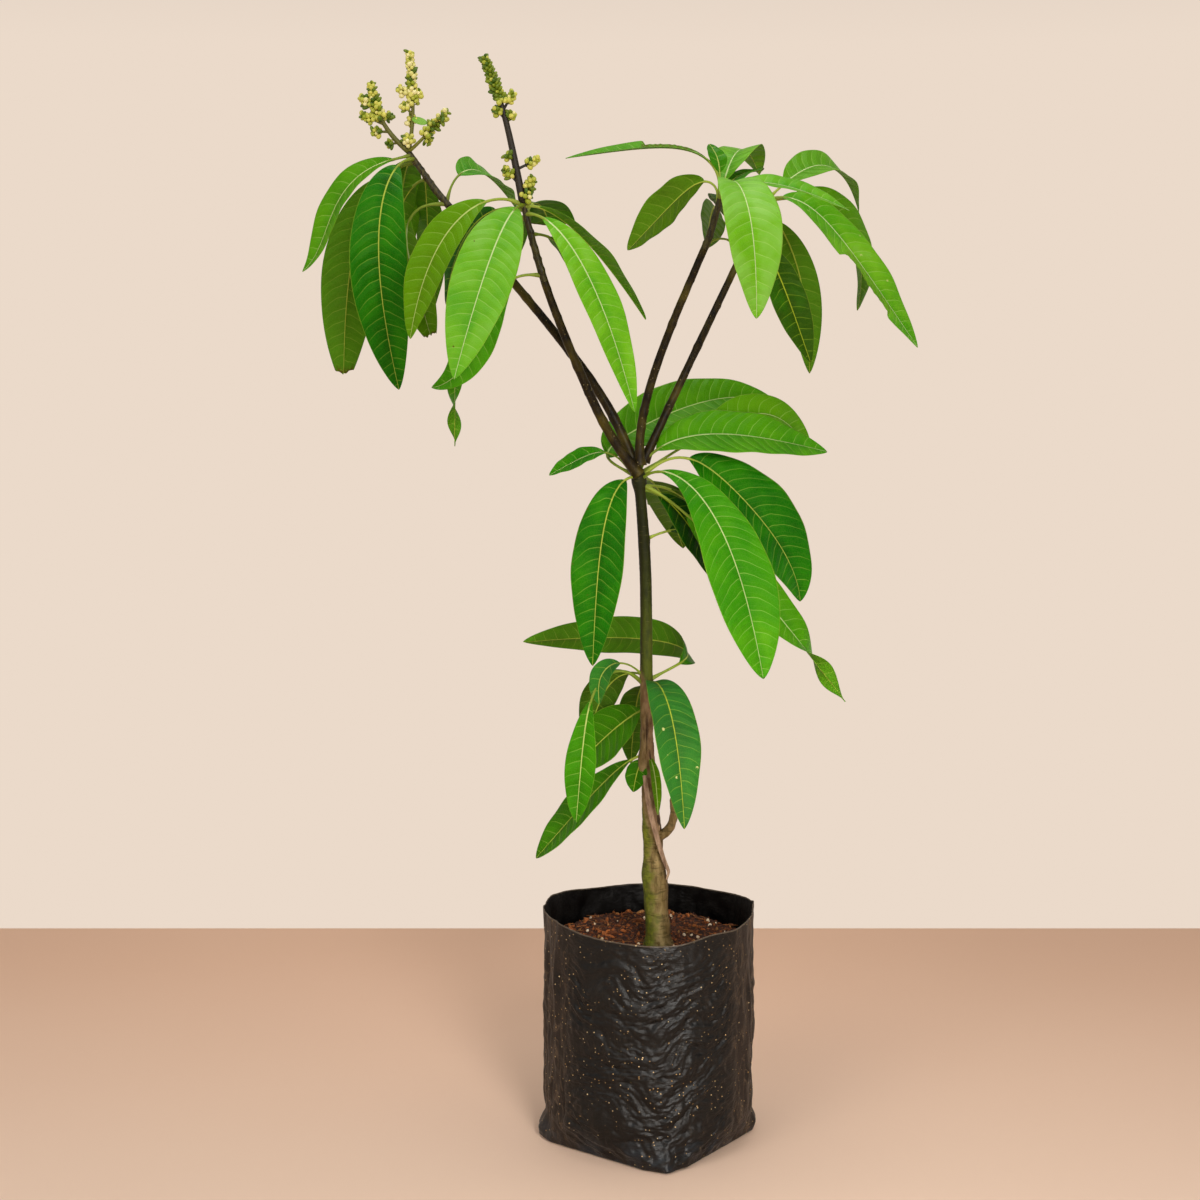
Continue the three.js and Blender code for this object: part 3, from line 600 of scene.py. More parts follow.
def steps_apart(sides, place):
    """How many steps round a ring each of its vertices is from a place on it."""
    apart = np.abs(np.arange(sides) - place)
    return np.minimum(apart, sides - apart)


def pebble_shape(detail):
    """A round body of unit radius: a cube's faces divided and pushed out."""
    steps = np.linspace(-1, 1, detail + 1)
    angle = np.tan(steps * np.pi / 4)
    verts, quads, places = [], [], []
    for axis in range(3):
        for end in (-1, 1):
            a, b = np.meshgrid(angle, angle, indexing="ij")
            face = np.empty((*a.shape, 3))
            face[..., axis] = end
            face[..., (axis + 1) % 3] = a * end
            face[..., (axis + 2) % 3] = b
            index = np.arange(a.size).reshape(a.shape) + len(verts) * a.size
            corners = [index[:-1, :-1], index[1:, :-1], index[1:, 1:], index[:-1, 1:]]
            quads.append(np.stack([corner.ravel() for corner in corners], 1))
            u, v = np.meshgrid(np.arange(detail), np.arange(detail), indexing="ij")
            u, v = u.ravel(), v.ravel()
            us, vs = np.stack([u, u + 1, u + 1, u], 1), np.stack([v, v, v + 1, v + 1], 1)
            square = np.stack([us, vs], -1)
            places.append((square / detail + [axis, (end + 1) // 2]) / [3, 2])
            verts.append(face.reshape(-1, 3))
    verts = np.vstack(verts)
    verts /= np.linalg.norm(verts, axis=1)[:, None]
    merged, back = np.unique(verts.round(5), axis=0, return_inverse=True)
    return merged, back.ravel()[np.vstack(quads)], np.vstack(places)


PEBBLES = {detail: pebble_shape(detail) for detail in (2, 3, 6)}


def pebble(place, size, detail=2, turn=None, **attributes):
    verts, quads, places = PEBBLES[detail]
    verts = verts * np.asarray(size)
    if turn is not None:
        verts = verts @ turn.T
    return Part(verts + np.asarray(place), quads, places, **attributes)


def random_turn(luck):
    """A turn in space picked at random."""
    turn, _ = np.linalg.qr(luck.normal(size=(3, 3)))
    return turn * np.sign(np.linalg.det(turn))


def piece_of(name, parts, finish, nodes):
    """One object from many parts. Each part gets its own cell of the UV map."""
    starts = np.cumsum([0] + [len(part.verts) for part in parts])
    verts = np.vstack([part.verts for part in parts]) * MM
    quads = np.vstack([part.quads + start for part, start in zip(parts, starts)])
    across = math.ceil(math.sqrt(len(parts)))
    down = math.ceil(len(parts) / across)
    cells = [(part.places * 0.96 + 0.02 + [i % across, i // across]) / [across, down]
             for i, part in enumerate(parts)]
    mesh = bpy.data.meshes.new(name)
    mesh.vertices.add(len(verts))
    mesh.vertices.foreach_set("co", verts.ravel())
    mesh.loops.add(quads.size)
    mesh.loops.foreach_set("vertex_index", quads.ravel())
    mesh.polygons.add(len(quads))
    mesh.polygons.foreach_set("loop_start", np.arange(len(quads)) * 4)
    mesh.polygons.foreach_set("use_smooth", np.ones(len(quads), bool))
    mesh.update(calc_edges=True)
    mesh.uv_layers.new(name="OFBake").data.foreach_set("uv", np.vstack(cells).ravel())
    for key in parts[0].attributes:
        values = np.vstack([part.attributes[key] for part in parts])
        mesh.attributes.new(key, "FLOAT_VECTOR", "POINT").data.foreach_set("vector", values.ravel())
    mesh.materials.append(finish)
    made = bpy.data.objects.new(name, mesh)
    bpy.context.scene.collection.objects.link(made)
    return placed(made, nodes)


def placed(made, nodes):
    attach(made, "root")
    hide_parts(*nodes)
    return made


def roughness(points, size, octaves=1):
    """Smooth noise from about -1 to 1 at points in millimetres, with swells of this size."""
    scaled = (points / size).reshape(-1, 3)
    if octaves == 1:
        values = [noise.noise(Vector(point)) for point in scaled]
    else:
        values = [noise.fractal(Vector(point), 1.0, 2.0, octaves) for point in scaled]
    return np.array(values).reshape(points.shape[:-1])


# ---- Leaves ----

LEAF_ROWS = 72
HALF_COLUMNS = (0, 0.035, 0.08, 0.17, 0.29, 0.43, 0.57, 0.71, 0.85, 0.95, 1)
BLADE_THICKNESS = 0.22
LEAF_WAVE = 1.3


def half_width(share, leaf):
    swell = np.clip(np.sin(np.pi * np.clip(share, 0, 1) ** leaf["full"]), 0, 1)
    return np.maximum(0.35, leaf["width"] / 2 * swell**0.72)


def turned(side, normal, degrees):
    """Side and normal turned about the direction between them."""
    cos, sin = np.cos(np.radians(degrees))[..., None], np.sin(np.radians(degrees))[..., None]
    return side * cos + normal * sin, normal * cos - side * sin


def kept_width(leaf, share, half, ragged):
    """How much of one half's width is left where insects have eaten from its margin."""
    kept = np.ones_like(share)
    for side, start, end, left in leaf["bites"]:
        if side * half > 0:
            inside = smooth((share - start) / 0.02 + 0.5) * smooth((end - share) / 0.02 + 0.5)
            kept -= (1 - left) * inside * (1 - 0.18 * ragged)
    return kept


def blade_part(curve, leaf, luck):
    """The blade of one leaf, closed and thin, with waves along its margins and a rib below."""
    columns = np.array([-value for value in HALF_COLUMNS[:0:-1]] + list(HALF_COLUMNS))
    even = np.linspace(0, 1, LEAF_ROWS)
    rows = lerp(even, (1 - np.cos(np.pi * even)) / 2, 0.35)
    total = leaf["petiole"] + leaf["length"]
    share = rows * leaf["cut"]
    points, along, side, normal = curve.at((leaf["petiole"] + share * leaf["length"]) / total)
    side, normal = turned(side, normal, leaf["roll"] + leaf["twist"] * share ** leaf["late"])
    ragged = luck.uniform(0, 1, LEAF_ROWS)
    width = half_width(share, leaf)
    halves = [width * kept_width(leaf, share, half, ragged) for half in (-1, 1)]
    reach = np.where(columns[None, :] < 0, halves[0][:, None], halves[1][:, None])
    off = np.abs(columns)
    fold = math.radians(leaf["fold"])
    lift = reach * math.sin(fold) * (1.5 * off - 0.5 * off**2)
    envelope = np.sin(np.pi * np.clip(share, 0, 1)) ** 0.5
    for half in (-1, 1):
        mine = columns * half > 0
        waves = sum(
            np.sin(2 * np.pi * (luck.uniform(1.5, 2.6) * count * share + luck.uniform())) / count
            for count in (1, 2)
        )
        wave = LEAF_WAVE * leaf["wave"] * leaf["width"] / 60 * waves * envelope
        lift[:, mine] += wave[:, None] * off[mine] ** 1.6
    lift += 0.5 * luck.uniform(-1, 1) * np.sin(4 * share[:, None] + 3 * columns)
    thick = BLADE_THICKNESS * (1 - 0.4 * off)
    rib = np.interp(off * reach, [0, 0.9, 2.2], [1, 0.55, 0]) * (1 - 0.78 * share[:, None])
    torn = leaf["cut"] < 1
    cut = np.zeros_like(reach)
    if torn:
        jag = np.convolve(luck.uniform(-1, 1, len(columns) + 2), [0.25, 0.5, 0.25], "valid")
        round_end = leaf["blunt"] * width[-1] * (1 - columns**2) - 2.2 * jag
        cut = smooth((rows[:, None] - 0.88) / 0.12) * round_end
    base = points[:, None] + along[:, None] * cut[..., None]
    base = base + side[:, None] * (columns * reach * math.cos(fold))[..., None]
    up = normal[:, None]
    top = base + up * (lift + thick + 0.25 * rib)[..., None]
    below = base + up * (lift - thick - 1.15 * rib)[..., None]
    rings = np.concatenate([top, below[:, ::-1]], 1)

    def both(values):
        """The same values for the upper side and the lower one."""
        values = np.broadcast_to(values, reach.shape)
        return np.concatenate([values, values[:, ::-1]], 1)

    grown = share[:, None]
    blade = stacked(both(grown * leaf["length"]), both(columns * width[:, None]), both(columns))
    under = np.concatenate([np.zeros_like(reach), np.ones_like(reach)], 1)
    harm = np.clip(rows[:, None] * 32 - 31, 0, 1) * torn
    harm = both(harm + (reach < 0.9 * width[:, None]) * 0.8) - leaf["scars"]
    face = stacked(under, luck.uniform(), harm)
    look = stacked(both(grown), leaf["tone"], leaf["olive"])
    return swept(rings, blade=blade, face=face, look=look)


def petiole_part(curve, leaf, luck):
    """The stalk of one leaf, swollen where it leaves the stem, and the start of its midrib."""
    petiole, length = leaf["petiole"], leaf["length"]
    reach = petiole + min(14, length / 3)
    along = np.linspace(0, reach, 26)
    knots = [0, 0.2 * petiole, 0.45 * petiole, 0.9 * petiole, petiole, reach]
    radii = np.interp(along, knots, [2.9, 2.4, 1.5, 1.4, 1.6, 0.5]) * min(1, 0.5 + length / 320)
    points, _, side, normal = curve.at(along / (petiole + length))
    points = points - normal * (np.clip((along - petiole) / 14, 0, 1) * 0.6)[:, None]
    stem = stacked(1, (along / reach)[:, None], luck.uniform())
    return tube(points, ways_out(12, side, normal), radii, stem=stem)


def leaf_parts(base, leaf, number):
    luck = np.random.default_rng(SEED * 1000 + number)
    curve = Curve(base, leaf, leaf["petiole"] + leaf["length"])
    return blade_part(curve, leaf, luck), petiole_part(curve, leaf, luck)


def shoot_part(bough):
    """The leafy end of a bough, with the rings and scars that the leaves' feet have left."""
    curve = shoot_curve(bough)
    shares = np.linspace(-0.01, 1, 90)
    luck = np.random.default_rng(int(bough["length"]))
    sides = 20
    radii = np.repeat(lerp(bough["tip"], SHOOT_TIP, shares)[:, None], sides, 1)
    for _ in range(16):
        at, turn = luck.uniform(0.05, 1), luck.uniform(0, sides)
        ring = bell((shares - at) * curve.length, 2.2)[:, None]
        radii += 0.7 * ring * bell(steps_apart(sides, turn), 3)
    radii[-4:] *= np.array([0.95, 0.85, 0.65, 0.3])[:, None]
    shares = np.clip(shares, 0, 1)
    points, _, side, normal = curve.at(shares)
    return tube(points, ways_out(sides, side, normal), radii, stem=stacked(0, shares[:, None], 0))


def add_foliage(finishes):
    number = 0
    groups = []
    for place, rows in LEAVES.items():
        curve = shoot_curve(BOUGHS[place])
        bases = [curve.at(row["up"])[0][0] for row in rows]
        groups.append((f"crown_{place}", rows, bases, [shoot_part(BOUGHS[place])]))
    for name, rows in WHORLS.items():
        groups.append((name, rows, [trunk_axis(row["up"])[0] for row in rows], []))
    for name, rows, bases, stems in groups:
        blades = []
        for row, base in zip(rows, bases):
            number += 1
            blade, stalk = leaf_parts(base, row, number)
            blades.append(blade)
            stems.append(stalk)
        piece_of(f"leaves_{name}", blades, finishes["leaf"], [name])
        piece_of(f"stalks_{name}", stems, finishes["stalk"], [name])


# ---- Trunk and boughs ----

# Heights between which the bark swells and folds at the graft.
GRAFT = (335, 470)


def stem_part():
    """The trunk from just below the top of the mix to just above the fork."""
    sides = 96
    top = TRUNK["fork"] + 5
    heights = np.linspace(MIX_LEVEL - 9, top, 520)
    axis = trunk_axis(np.maximum(heights, MIX_LEVEL))
    axis[:, 2] = heights
    radii = trunk_radius(np.clip(heights, MIX_LEVEL, TRUNK["fork"]))
    radii = radii + np.clip(MIX_LEVEL + 4 - heights, 0, 9) * 0.25
    radii = np.repeat(radii[:, None], sides, 1)
    level = heights[:, None]
    out = ways_out(sides, np.array([[0.0, 1, 0]]), np.array([[1.0, 0, 0]]))
    skin = axis[:, None] + radii[..., None] * out
    graft = smooth((level - GRAFT[0]) / 26) * smooth((GRAFT[1] - level) / 30)
    young = smooth((level - 450) / 30)
    radii += roughness(skin * [1, 1, 0.16], 9, 3) * (0.7 + 1.3 * graft - 0.5 * young)
    radii += roughness(skin * [1, 1, 0.45], 3.2, 3) * (0.2 + 0.4 * graft - 0.1 * young)
    radii += roughness(skin * [0.15, 0.15, 1], 1.9, 2) * (0.24 - 0.12 * young)
    headings = np.arange(sides) / sides * 360
    for height, heading, size, width in KNOTS:
        around = bell(turned_from(headings, heading), width * 5)
        radii += size * bell(level - height, width) * around
    close = np.clip((top - level) / 7, 0, 1)
    radii *= np.sqrt(np.clip(close * (2 - close), 0.02, 1))
    return tube(axis, out, radii, stem=stacked(out[..., 0], out[..., 1], level))


def spur_part():
    """The dead spur that hooks out of the graft and up beside the trunk."""
    curve = Curve(trunk_axis(SPUR["height"])[0], SPUR, SPUR["length"])
    sides = 32
    shares = np.linspace(0, 1, 90)
    points, _, side, normal = curve.at(shares)
    out = ways_out(sides, side, normal)
    radii = np.repeat(lerp(SPUR["root"], SPUR["tip"], shares)[:, None], sides, 1)
    radii += roughness(points[:, None] + radii[..., None] * out, 7, 2) * 0.6
    radii *= (1 - 0.7 * smooth((shares - 0.9) / 0.1))[:, None]
    return tube(points, out, radii, stem=(0.6, -0.6, SPUR["height"]))


def add_trunk(finishes):
    parts = [stem_part(), spur_part(), strip_part()]
    piece_of("trunk_bark", parts, finishes["bark"], ["trunk"])


# Knots and swellings of the bark: height, heading, how far they stand out and how wide they are.
KNOTS = [
    (418, -150, 2.4, 8), (404, -60, 1.6, 7), (372, -100, 1.6, 12), (352, -40, 2.2, 10),
    (345, -140, 1.6, 10), (338, -25, 2.6, 9), (312, -60, 1.2, 10), (302, 170, 1.4, 12),
    (288, -60, 1.5, 14), (505, 0, 0.8, 6), (497, -90, 1.0, 5), (468, 150, 0.8, 5),
    (512, 200, 0.8, 5), (560, -60, 0.5, 5), (600, 120, 0.5, 6), (656, 20, 0.9, 5),
    (428, 190, 1.4, 6), (264, 200, 1.0, 10), (244, -30, 1.2, 9), (690, -100, 0.5, 5),
]

# A loose tongue of bark that runs down across the graft and curls out: points in millimetres.
STRIP = [
    (-6, -39, 408), (-3, -42, 385), (2, -45, 360), (8, -45, 338), (14, -44, 318), (20, -43, 304),
    (18, -42, 296),
]


def strip_part():
    knots = np.array(STRIP, float)
    rows, sides = 70, 20
    share = np.linspace(0, len(knots) - 1, rows)
    points = np.stack([np.interp(share, range(len(knots)), knots[:, i]) for i in range(3)], -1)
    for _ in range(6):
        points[1:-1] = (points[:-2] + points[1:-1] + points[2:]) / 3
    along = np.gradient(points, axis=0)
    along /= np.linalg.norm(along, axis=1)[:, None]
    side = np.cross(along, [0, -1, 0.0])
    side /= np.linalg.norm(side, axis=1)[:, None]
    normal = np.cross(side, along)
    side, normal = turned(side, normal, np.linspace(10, 70, rows))
    taper = np.sin(np.pi * np.linspace(0.12, 0.9, rows)) ** 0.4
    turn = np.arange(sides) / sides * 2 * np.pi
    wide = np.cos(turn)[None, :] * 3.1 * taper[:, None]
    high = np.sin(turn)[None, :] * 1.3 * taper[:, None] + 0.1 * wide**2
    rings = points[:, None] + side[:, None] * wide[..., None] + normal[:, None] * high[..., None]
    return swept(rings, stem=(2, -0.9, 400))


def bough_part(bough):
    """One bough, thick at its foot, with faint rings and small swellings."""
    curve = bough_curve(bough)
    sides = 36
    shares = np.linspace(0, 1, 260)
    length = shares * bough["length"]
    points, _, side, normal = curve.at(shares)
    out = ways_out(sides, side, normal)
    radii = lerp(bough["root"], bough["tip"], shares) + 2.6 * np.exp(-length / 10)
    radii = np.repeat(radii[:, None], sides, 1)
    skin = points[:, None] + radii[..., None] * out
    radii += roughness(skin * [1, 1, 0.4], 7, 2) * 0.22
    luck = np.random.default_rng(int(bough["length"]) + 5)
    for _ in range(20):
        at, turn = luck.uniform(20, bough["length"]), luck.uniform(0, sides)
        size = luck.uniform(0.15, 0.4)
        radii += size * bell(length - at, 2)[:, None] * bell(steps_apart(sides, turn), 4)
    for node in np.arange(60, bough["length"] - 20, 85):
        radii += 0.5 * bell(length - node - luck.uniform(-15, 15), 4)[:, None]
    return tube(points, out, radii)


def add_boughs(finishes):
    for place, bough in BOUGHS.items():
        name, parts = f"bough_{place}", [bough_part(bough)]
        piece_of(f"bark_{name}", parts, finishes["bough"], [name])


# ---- Flowers ----

STALK = {"radius": 1.6, "bare": 0.4, "spread": 4.6, "sides": [], "bloom": "bud", "dark": 0.35}
BUDS_GROWN = 2.5
BUD_SIZE = 2.6
# What the first number of the attribute bud stands for.
STEM, BRACT, BUD, CREAM, SMALL_LEAF = range(5)
# How likely the green bract, the bud and the cream bud are on each kind of stalk.
BLOOMS = {"bud": (0.35, 0.55, 0.1), "cream": (0.15, 0.35, 0.5), "bract": (0.85, 0.15, 0)}
GOLDEN_ANGLE = 137.5


def towards(way):
    """A turn that brings +Z to a direction."""
    side = np.cross(way, [0.3, 0.5, 0.8])
    side /= np.linalg.norm(side)
    return np.stack([side, np.cross(way, side), way], 1)


def stalk_parts(start, row, luck):
    """One flower stalk with its buds on short stems, followed by its side stalks."""
    stalk = {**STALK, **row}
    curve = Curve(start, stalk, stalk["length"])
    shares = np.linspace(0, 1, 14)
    taper = stalk["radius"] * (1 - 0.5 * shares)
    parts = [curve_tube(curve, shares, taper, 10, bud=(STEM, luck.uniform(), stalk["dark"]))]
    buds = math.ceil(stalk["buds"] * BUDS_GROWN)
    for bud in range(buds):
        share = lerp(stalk["bare"], 1, (bud + 0.5) / buds)
        point, along, side, normal = (value[0] for value in curve.at(share))
        angle = math.radians(GOLDEN_ANGLE * bud)
        out = side * math.cos(angle) + normal * math.sin(angle) + along * 0.4
        out = out / np.linalg.norm(out)
        reach = stalk["spread"] * (1.45 - 0.95 * share) * luck.uniform(0.7, 1.2)
        size = BUD_SIZE * luck.uniform(0.75, 1.2) * (1.15 - 0.3 * share)
        kind = luck.choice([BRACT, BUD, CREAM], p=BLOOMS[stalk["bloom"]])
        shape = size * np.array([0.8, 0.8, 1.7] if kind == BRACT else [1, 1, 1.2])
        turn = towards(out)
        parts.append(pebble(point + out * reach, shape, 3, turn, bud=(kind, luck.uniform(), 0)))
        stem = point + np.linspace(0, reach, 3)[:, None] * out
        ways = ways_out(4, turn[None, :, 0], turn[None, :, 1])
        parts.append(tube(stem, ways, [0.6, 0.5, 0.5], bud=(STEM, luck.uniform(), 0)))
    for side_row in stalk["sides"]:
        bloom = "bud" if stalk["bloom"] == "bract" else stalk["bloom"]
        inherited = {"bloom": bloom, "dark": stalk["dark"]}
        parts += stalk_parts(curve.at(side_row["at"])[0][0], {**inherited, **side_row}, luck)
    return parts


# Small leaves among the flower stalks: shoot, place, half sizes and the way each one faces.
SMALL_LEAVES = [
    ("left_outer", (-244.0, 58.0, 1094.0), (8.5, 4.6, 0.5), (0.1, -0.85, 0.5)),
    ("left_inner", (-126.0, -66.0, 1013.0), (6.0, 7.0, 0.5), (0.2, -0.9, 0.3)),
]


def add_flowers(finishes):
    for place, stalks in FLOWERS.items():
        points, along, _, _ = shoot_curve(BOUGHS[place]).at(1)
        start = points[0] + along[0] * (GAP + STALK["radius"] - 3)
        luck = np.random.default_rng(SEED)
        parts = [part for stalk in stalks for part in stalk_parts(start, stalk, luck)]
        for shoot, spot, size, facing in SMALL_LEAVES:
            if shoot == place:
                way = np.array(facing) / np.linalg.norm(facing)
                parts.append(pebble(spot, size, 6, towards(way), bud=(SMALL_LEAF, 0.5, 0)))
        nodes = [f"flowers_{place}"]
        piece_of(f"blossom_{place}", parts, finishes["flower"], nodes)


# ---- Bag and potting mix ----

# Vertices closer than this are welded, in metres.
WELD = 0.00002
FILM_GRID, MIX_GRID = (420, 330), (300, 150)
CHIPS, FIBRES, GRAINS = 520, 170, 30


def lofted(name, grid, place):
    """A closed body of revolution that isn't round: a grid rolled up and welded. grid says how
    many faces it has round and along its path. place turns the headings and the steps of the
    path, both flat arrays, into points in millimetres."""
    bpy.ops.object.select_all(action="DESELECT")
    bpy.ops.mesh.primitive_grid_add(x_subdivisions=grid[0], y_subdivisions=grid[1], size=2)
    made = bpy.context.object
    made.name = name
    mesh = made.data
    flat = np.empty(len(mesh.vertices) * 3)
    mesh.vertices.foreach_get("co", flat)
    flat = flat.reshape(-1, 3)
    heading = (flat[:, 0] + 1) * 180
    step = (flat[:, 1] + 1) / 2
    points, attributes = place(heading, step)
    mesh.vertices.foreach_set("co", (points * MM).ravel())
    for key, values in attributes.items():
        mesh.attributes.new(key, "FLOAT_VECTOR", "POINT").data.foreach_set("vector", values.ravel())
    mesh.uv_layers[0].name = "OFBake"
    bpy.ops.object.mode_set(mode="EDIT")
    bpy.ops.mesh.select_all(action="SELECT")
    bpy.ops.mesh.remove_doubles(threshold=WELD)
    bpy.ops.mesh.normals_make_consistent(inside=False)
    bpy.ops.object.mode_set(mode="OBJECT")
    bpy.ops.object.shade_smooth()
    return made


def bag_radius(height, heading):
    """Distance from the bag's axis to its wall: round above, square below."""
    roundness = smooth(height / BAG["square below"])
    to_corner = np.abs(((heading - BAG["turn"]) % 90 + 135) % 90 - 45)
    flat = BAG["half side"] / np.cos(np.radians(45 - to_corner))
    return lerp(np.minimum(flat, BAG["corner"] - 0.55 * to_corner), BAG["mouth"], roundness)


# Folds in the film: from and to as heading and height, how deep, how wide.
FOLDS = [
    (-84, 6, -108, 22, 2.6, 3.5), (-86, 12, -102, 34, -2.2, 4), (-81, 12, -80, 42, 1.8, 4),
    (-78, 10, -66, 34, -2.2, 4), (-76, 6, -60, 20, 2.4, 3.5), (-110, 26, -66, 40, -2.0, 4),
    (-118, 176, -86, 128, -1.8, 5), (-58, 180, -84, 134, -1.8, 6),
    (-132, 140, -96, 88, -1.8, 5), (-46, 136, -80, 84, -1.8, 5),
    (-150, 240, -158, 40, 2.0, 4), (-162, 236, -170, 60, -1.8, 4), (-142, 200, -146, 30, -1.6, 4),
    (-172, 220, -178, 30, 1.6, 5), (-24, 238, -14, 60, 1.8, 4), (-12, 240, -4, 50, -1.8, 4),
    (-34, 200, -30, 34, -1.6, 4), (-2, 230, 8, 40, 1.6, 5), (40, 230, 60, 60, 1.6, 6),
    (90, 236, 84, 40, -1.6, 6), (130, 232, 120, 50, 1.6, 6), (160, 220, 150, 40, -1.6, 5),
]
# Headings of the film's two pressed edges, which stand up at the mouth and stick out at the foot.
EDGES = (3, 183)


def fold_depth(heading, height):
    """How far the folds push the wall out, in millimetres."""
    depth = np.zeros_like(heading)
    x = np.radians(heading) * BAG["mouth"]
    for from_heading, from_height, to_heading, to_height, size, width in FOLDS:
        a = np.array([math.radians(from_heading) * BAG["mouth"], from_height])
        b = np.array([math.radians(to_heading) * BAG["mouth"], to_height])
        line = b - a
        length = np.linalg.norm(line)
        line = line / length
        for lap in (0, 1):
            dx = x - lap * 2 * np.pi * BAG["mouth"] - a[0]
            dy = height - a[1]
            share = (dx * line[0] + dy * line[1]) / length
            apart = -dx * line[1] + dy * line[0] + 2.2 * np.sin(9 * share + from_heading)
            fade = smooth((share + 0.05) / 0.2) * smooth((1.05 - share) / 0.2)
            depth += size * np.exp(-np.abs(apart) / width) * fade
    return depth


def edge_share(heading, width):
    """1 at the pressed edges of the film, easing out over the width in degrees."""
    return sum(bell(turned_from(heading, edge), width) for edge in EDGES)


def beside_edges(off):
    """0 on the film's front and back, 1 beside its pressed edges."""
    return smooth((off - 40) / 26)


def crinkles(skin, off, height):
    """Short wrinkles that sag towards the middle of the front and the back, and long upright
    ones beside the pressed edges. off is the angle from the middle, in degrees."""
    sagging = skin.copy()
    drift = roughness(skin, 45) * 26
    sagging[:, 2] = height - 0.62 * np.sqrt(off**2 + 60) + drift
    broad = roughness(sagging / [26, 26, 12], 1) * 2.9
    ridged = roughness(sagging / [11, 11, 5.2] + 7, 1)
    short = (0.3 - np.abs(ridged)) * 2.7 + roughness(sagging / [7, 7, 3.2] + 19, 1) * 1.1
    upright = roughness(skin / [11, 11, 60] + 3, 1) * 3.6
    thin = (0.3 - np.abs(roughness(skin / [6, 6, 34] + 11, 1))) * 1.8
    middle, side = broad + short * smooth((72 - off) / 30), upright + thin + broad * 0.35
    return lerp(middle, side, beside_edges(off))


def along_path(step, path):
    """The share of the radius and the height at each step of a path."""
    steps, shares, heights = zip(*path)
    return np.interp(step, steps, shares), np.interp(step, steps, heights)


RIM_STEP = 0.735
RIM = BAG["height"] + 1
MIX_TOP = MIX_LEVEL - 2
# The film from the middle of its underside up the outside, over the rim and down inside, and the
# mix from the middle of its top down the side and across below: step, share of radius, height.
FILM_PATH = [
    (0, 0, 0), (0.14, 0.96, 0), (0.16, 1, 2.5), (0.72, 1, BAG["height"]), (RIM_STEP, 1, RIM),
    (0.745, 1, RIM), (0.76, 1, BAG["height"]), (0.9, 1, 6), (0.93, 0.96, 1.2), (1, 0, 1.2),
]
MIX_PATH = [
    (0, 0, MIX_TOP), (0.7, 0.985, MIX_TOP), (0.74, 1, MIX_TOP - 5), (0.88, 1, 6),
    (0.9, 0.985, 3), (1, 0, 3),
]
# Below this height the film hangs straight, and above it the mouth's waves set in.
MOUTH_FROM = 190
FILM_THICKNESS = 0.9
# The heading of the foot's front corner, where the film is folded to a tip.
FOOT_CORNER = 278


def bag_place(heading, step):
    """The film's places, with wrinkles, folds, ears at the foot and waves at the mouth."""
    share, height = along_path(step, FILM_PATH)
    inner = smooth((step - RIM_STEP) / 0.012)
    angle = np.radians(heading)
    radius = bag_radius(height, heading)
    skin = stacked(radius * np.cos(angle), radius * np.sin(angle), height)
    off = np.abs(heading % 180 - 90)
    side = share > 0.97
    wall = side * smooth(height / 14)
    mouth = smooth((height - MOUTH_FROM) / (BAG["height"] - MOUTH_FROM))
    pushed = crinkles(skin, off, height) * (1 - 0.55 * mouth)
    pushed = (pushed + fold_depth(heading, height) * (1 - 0.6 * mouth)) * wall
    ear = 2.5 * (bell(height - 12, 8) - bell(height - 28, 6))
    pushed += ear * edge_share(heading, 9) * wall
    pushed += 4.5 * bell(turned_from(heading, FOOT_CORNER), 5) * bell(height, 9) * side
    radius = (radius + pushed) * share - inner * FILM_THICKNESS
    radius += edge_share(heading, 5) * mouth * 1.6
    wave = 2.2 + 4.3 * np.cos(2 * angle) + 1.2 * np.sin(angle) + 1.1 * np.sin(5 * angle + 1)
    wave += 2.6 * edge_share(heading, 4) + roughness(skin * [1, 1, 0], 60) * 3
    rise = mouth * (height > 100) * wave
    points = stacked(radius * np.cos(angle), radius * np.sin(angle), height + rise)
    return points, {"film": stacked(beside_edges(off), height, inner)}


def add_bag(finishes):
    bag = lofted("grow_bag_film", FILM_GRID, bag_place)
    bag.data.materials.append(finishes["bag"])
    placed(bag, ["grow_bag"])


def mix_swell(points, share):
    """How far the top of the mix stands above its level, without its lumps and grit."""
    return roughness(points * [1, 1, 0], 34) * 3.4 - 3 * smooth((share - 0.8) / 0.2)


def mix_place(heading, step):
    share, height = along_path(step, MIX_PATH)
    angle = np.radians(heading)
    radius = (bag_radius(height, heading) - 7.5) * share
    points = stacked(radius * np.cos(angle), radius * np.sin(angle), height)
    top = smooth((height - 200) / 20)
    coarse = mix_swell(points, share)
    lumps = np.array([1 - 2 * noise.voronoi(Vector(p))[0][0] for p in points * [1, 1, 0] / 8.5])
    grit = roughness(points * [1, 1, 0], 2.6, 3)
    points[:, 2] += top * (coarse + 2.0 * lumps + 1.1 * grit)
    return points, {}


def mix_spot(luck, reach, nearest=0):
    """A place picked at random on the top of the mix."""
    reach, angle = reach * math.sqrt(luck.uniform(nearest, 1)), luck.uniform(0, 2 * math.pi)
    spot = np.array([reach * math.cos(angle), reach * math.sin(angle), MIX_TOP])
    spot[2] += mix_swell(spot, reach / 105)
    return spot


def chip_part(luck):
    spot = mix_spot(luck, 103)
    size = luck.uniform(1.1, 3.5) * np.array([1, luck.uniform(0.35, 0.8), luck.uniform(0.25, 0.5)])
    size *= 1 + 0.8 * (luck.uniform() < 0.2)
    spot[2] += luck.uniform(-0.2, 1.6)
    return pebble(spot, size, 2, random_turn(luck), crumb=(luck.uniform(), luck.uniform(), 0))


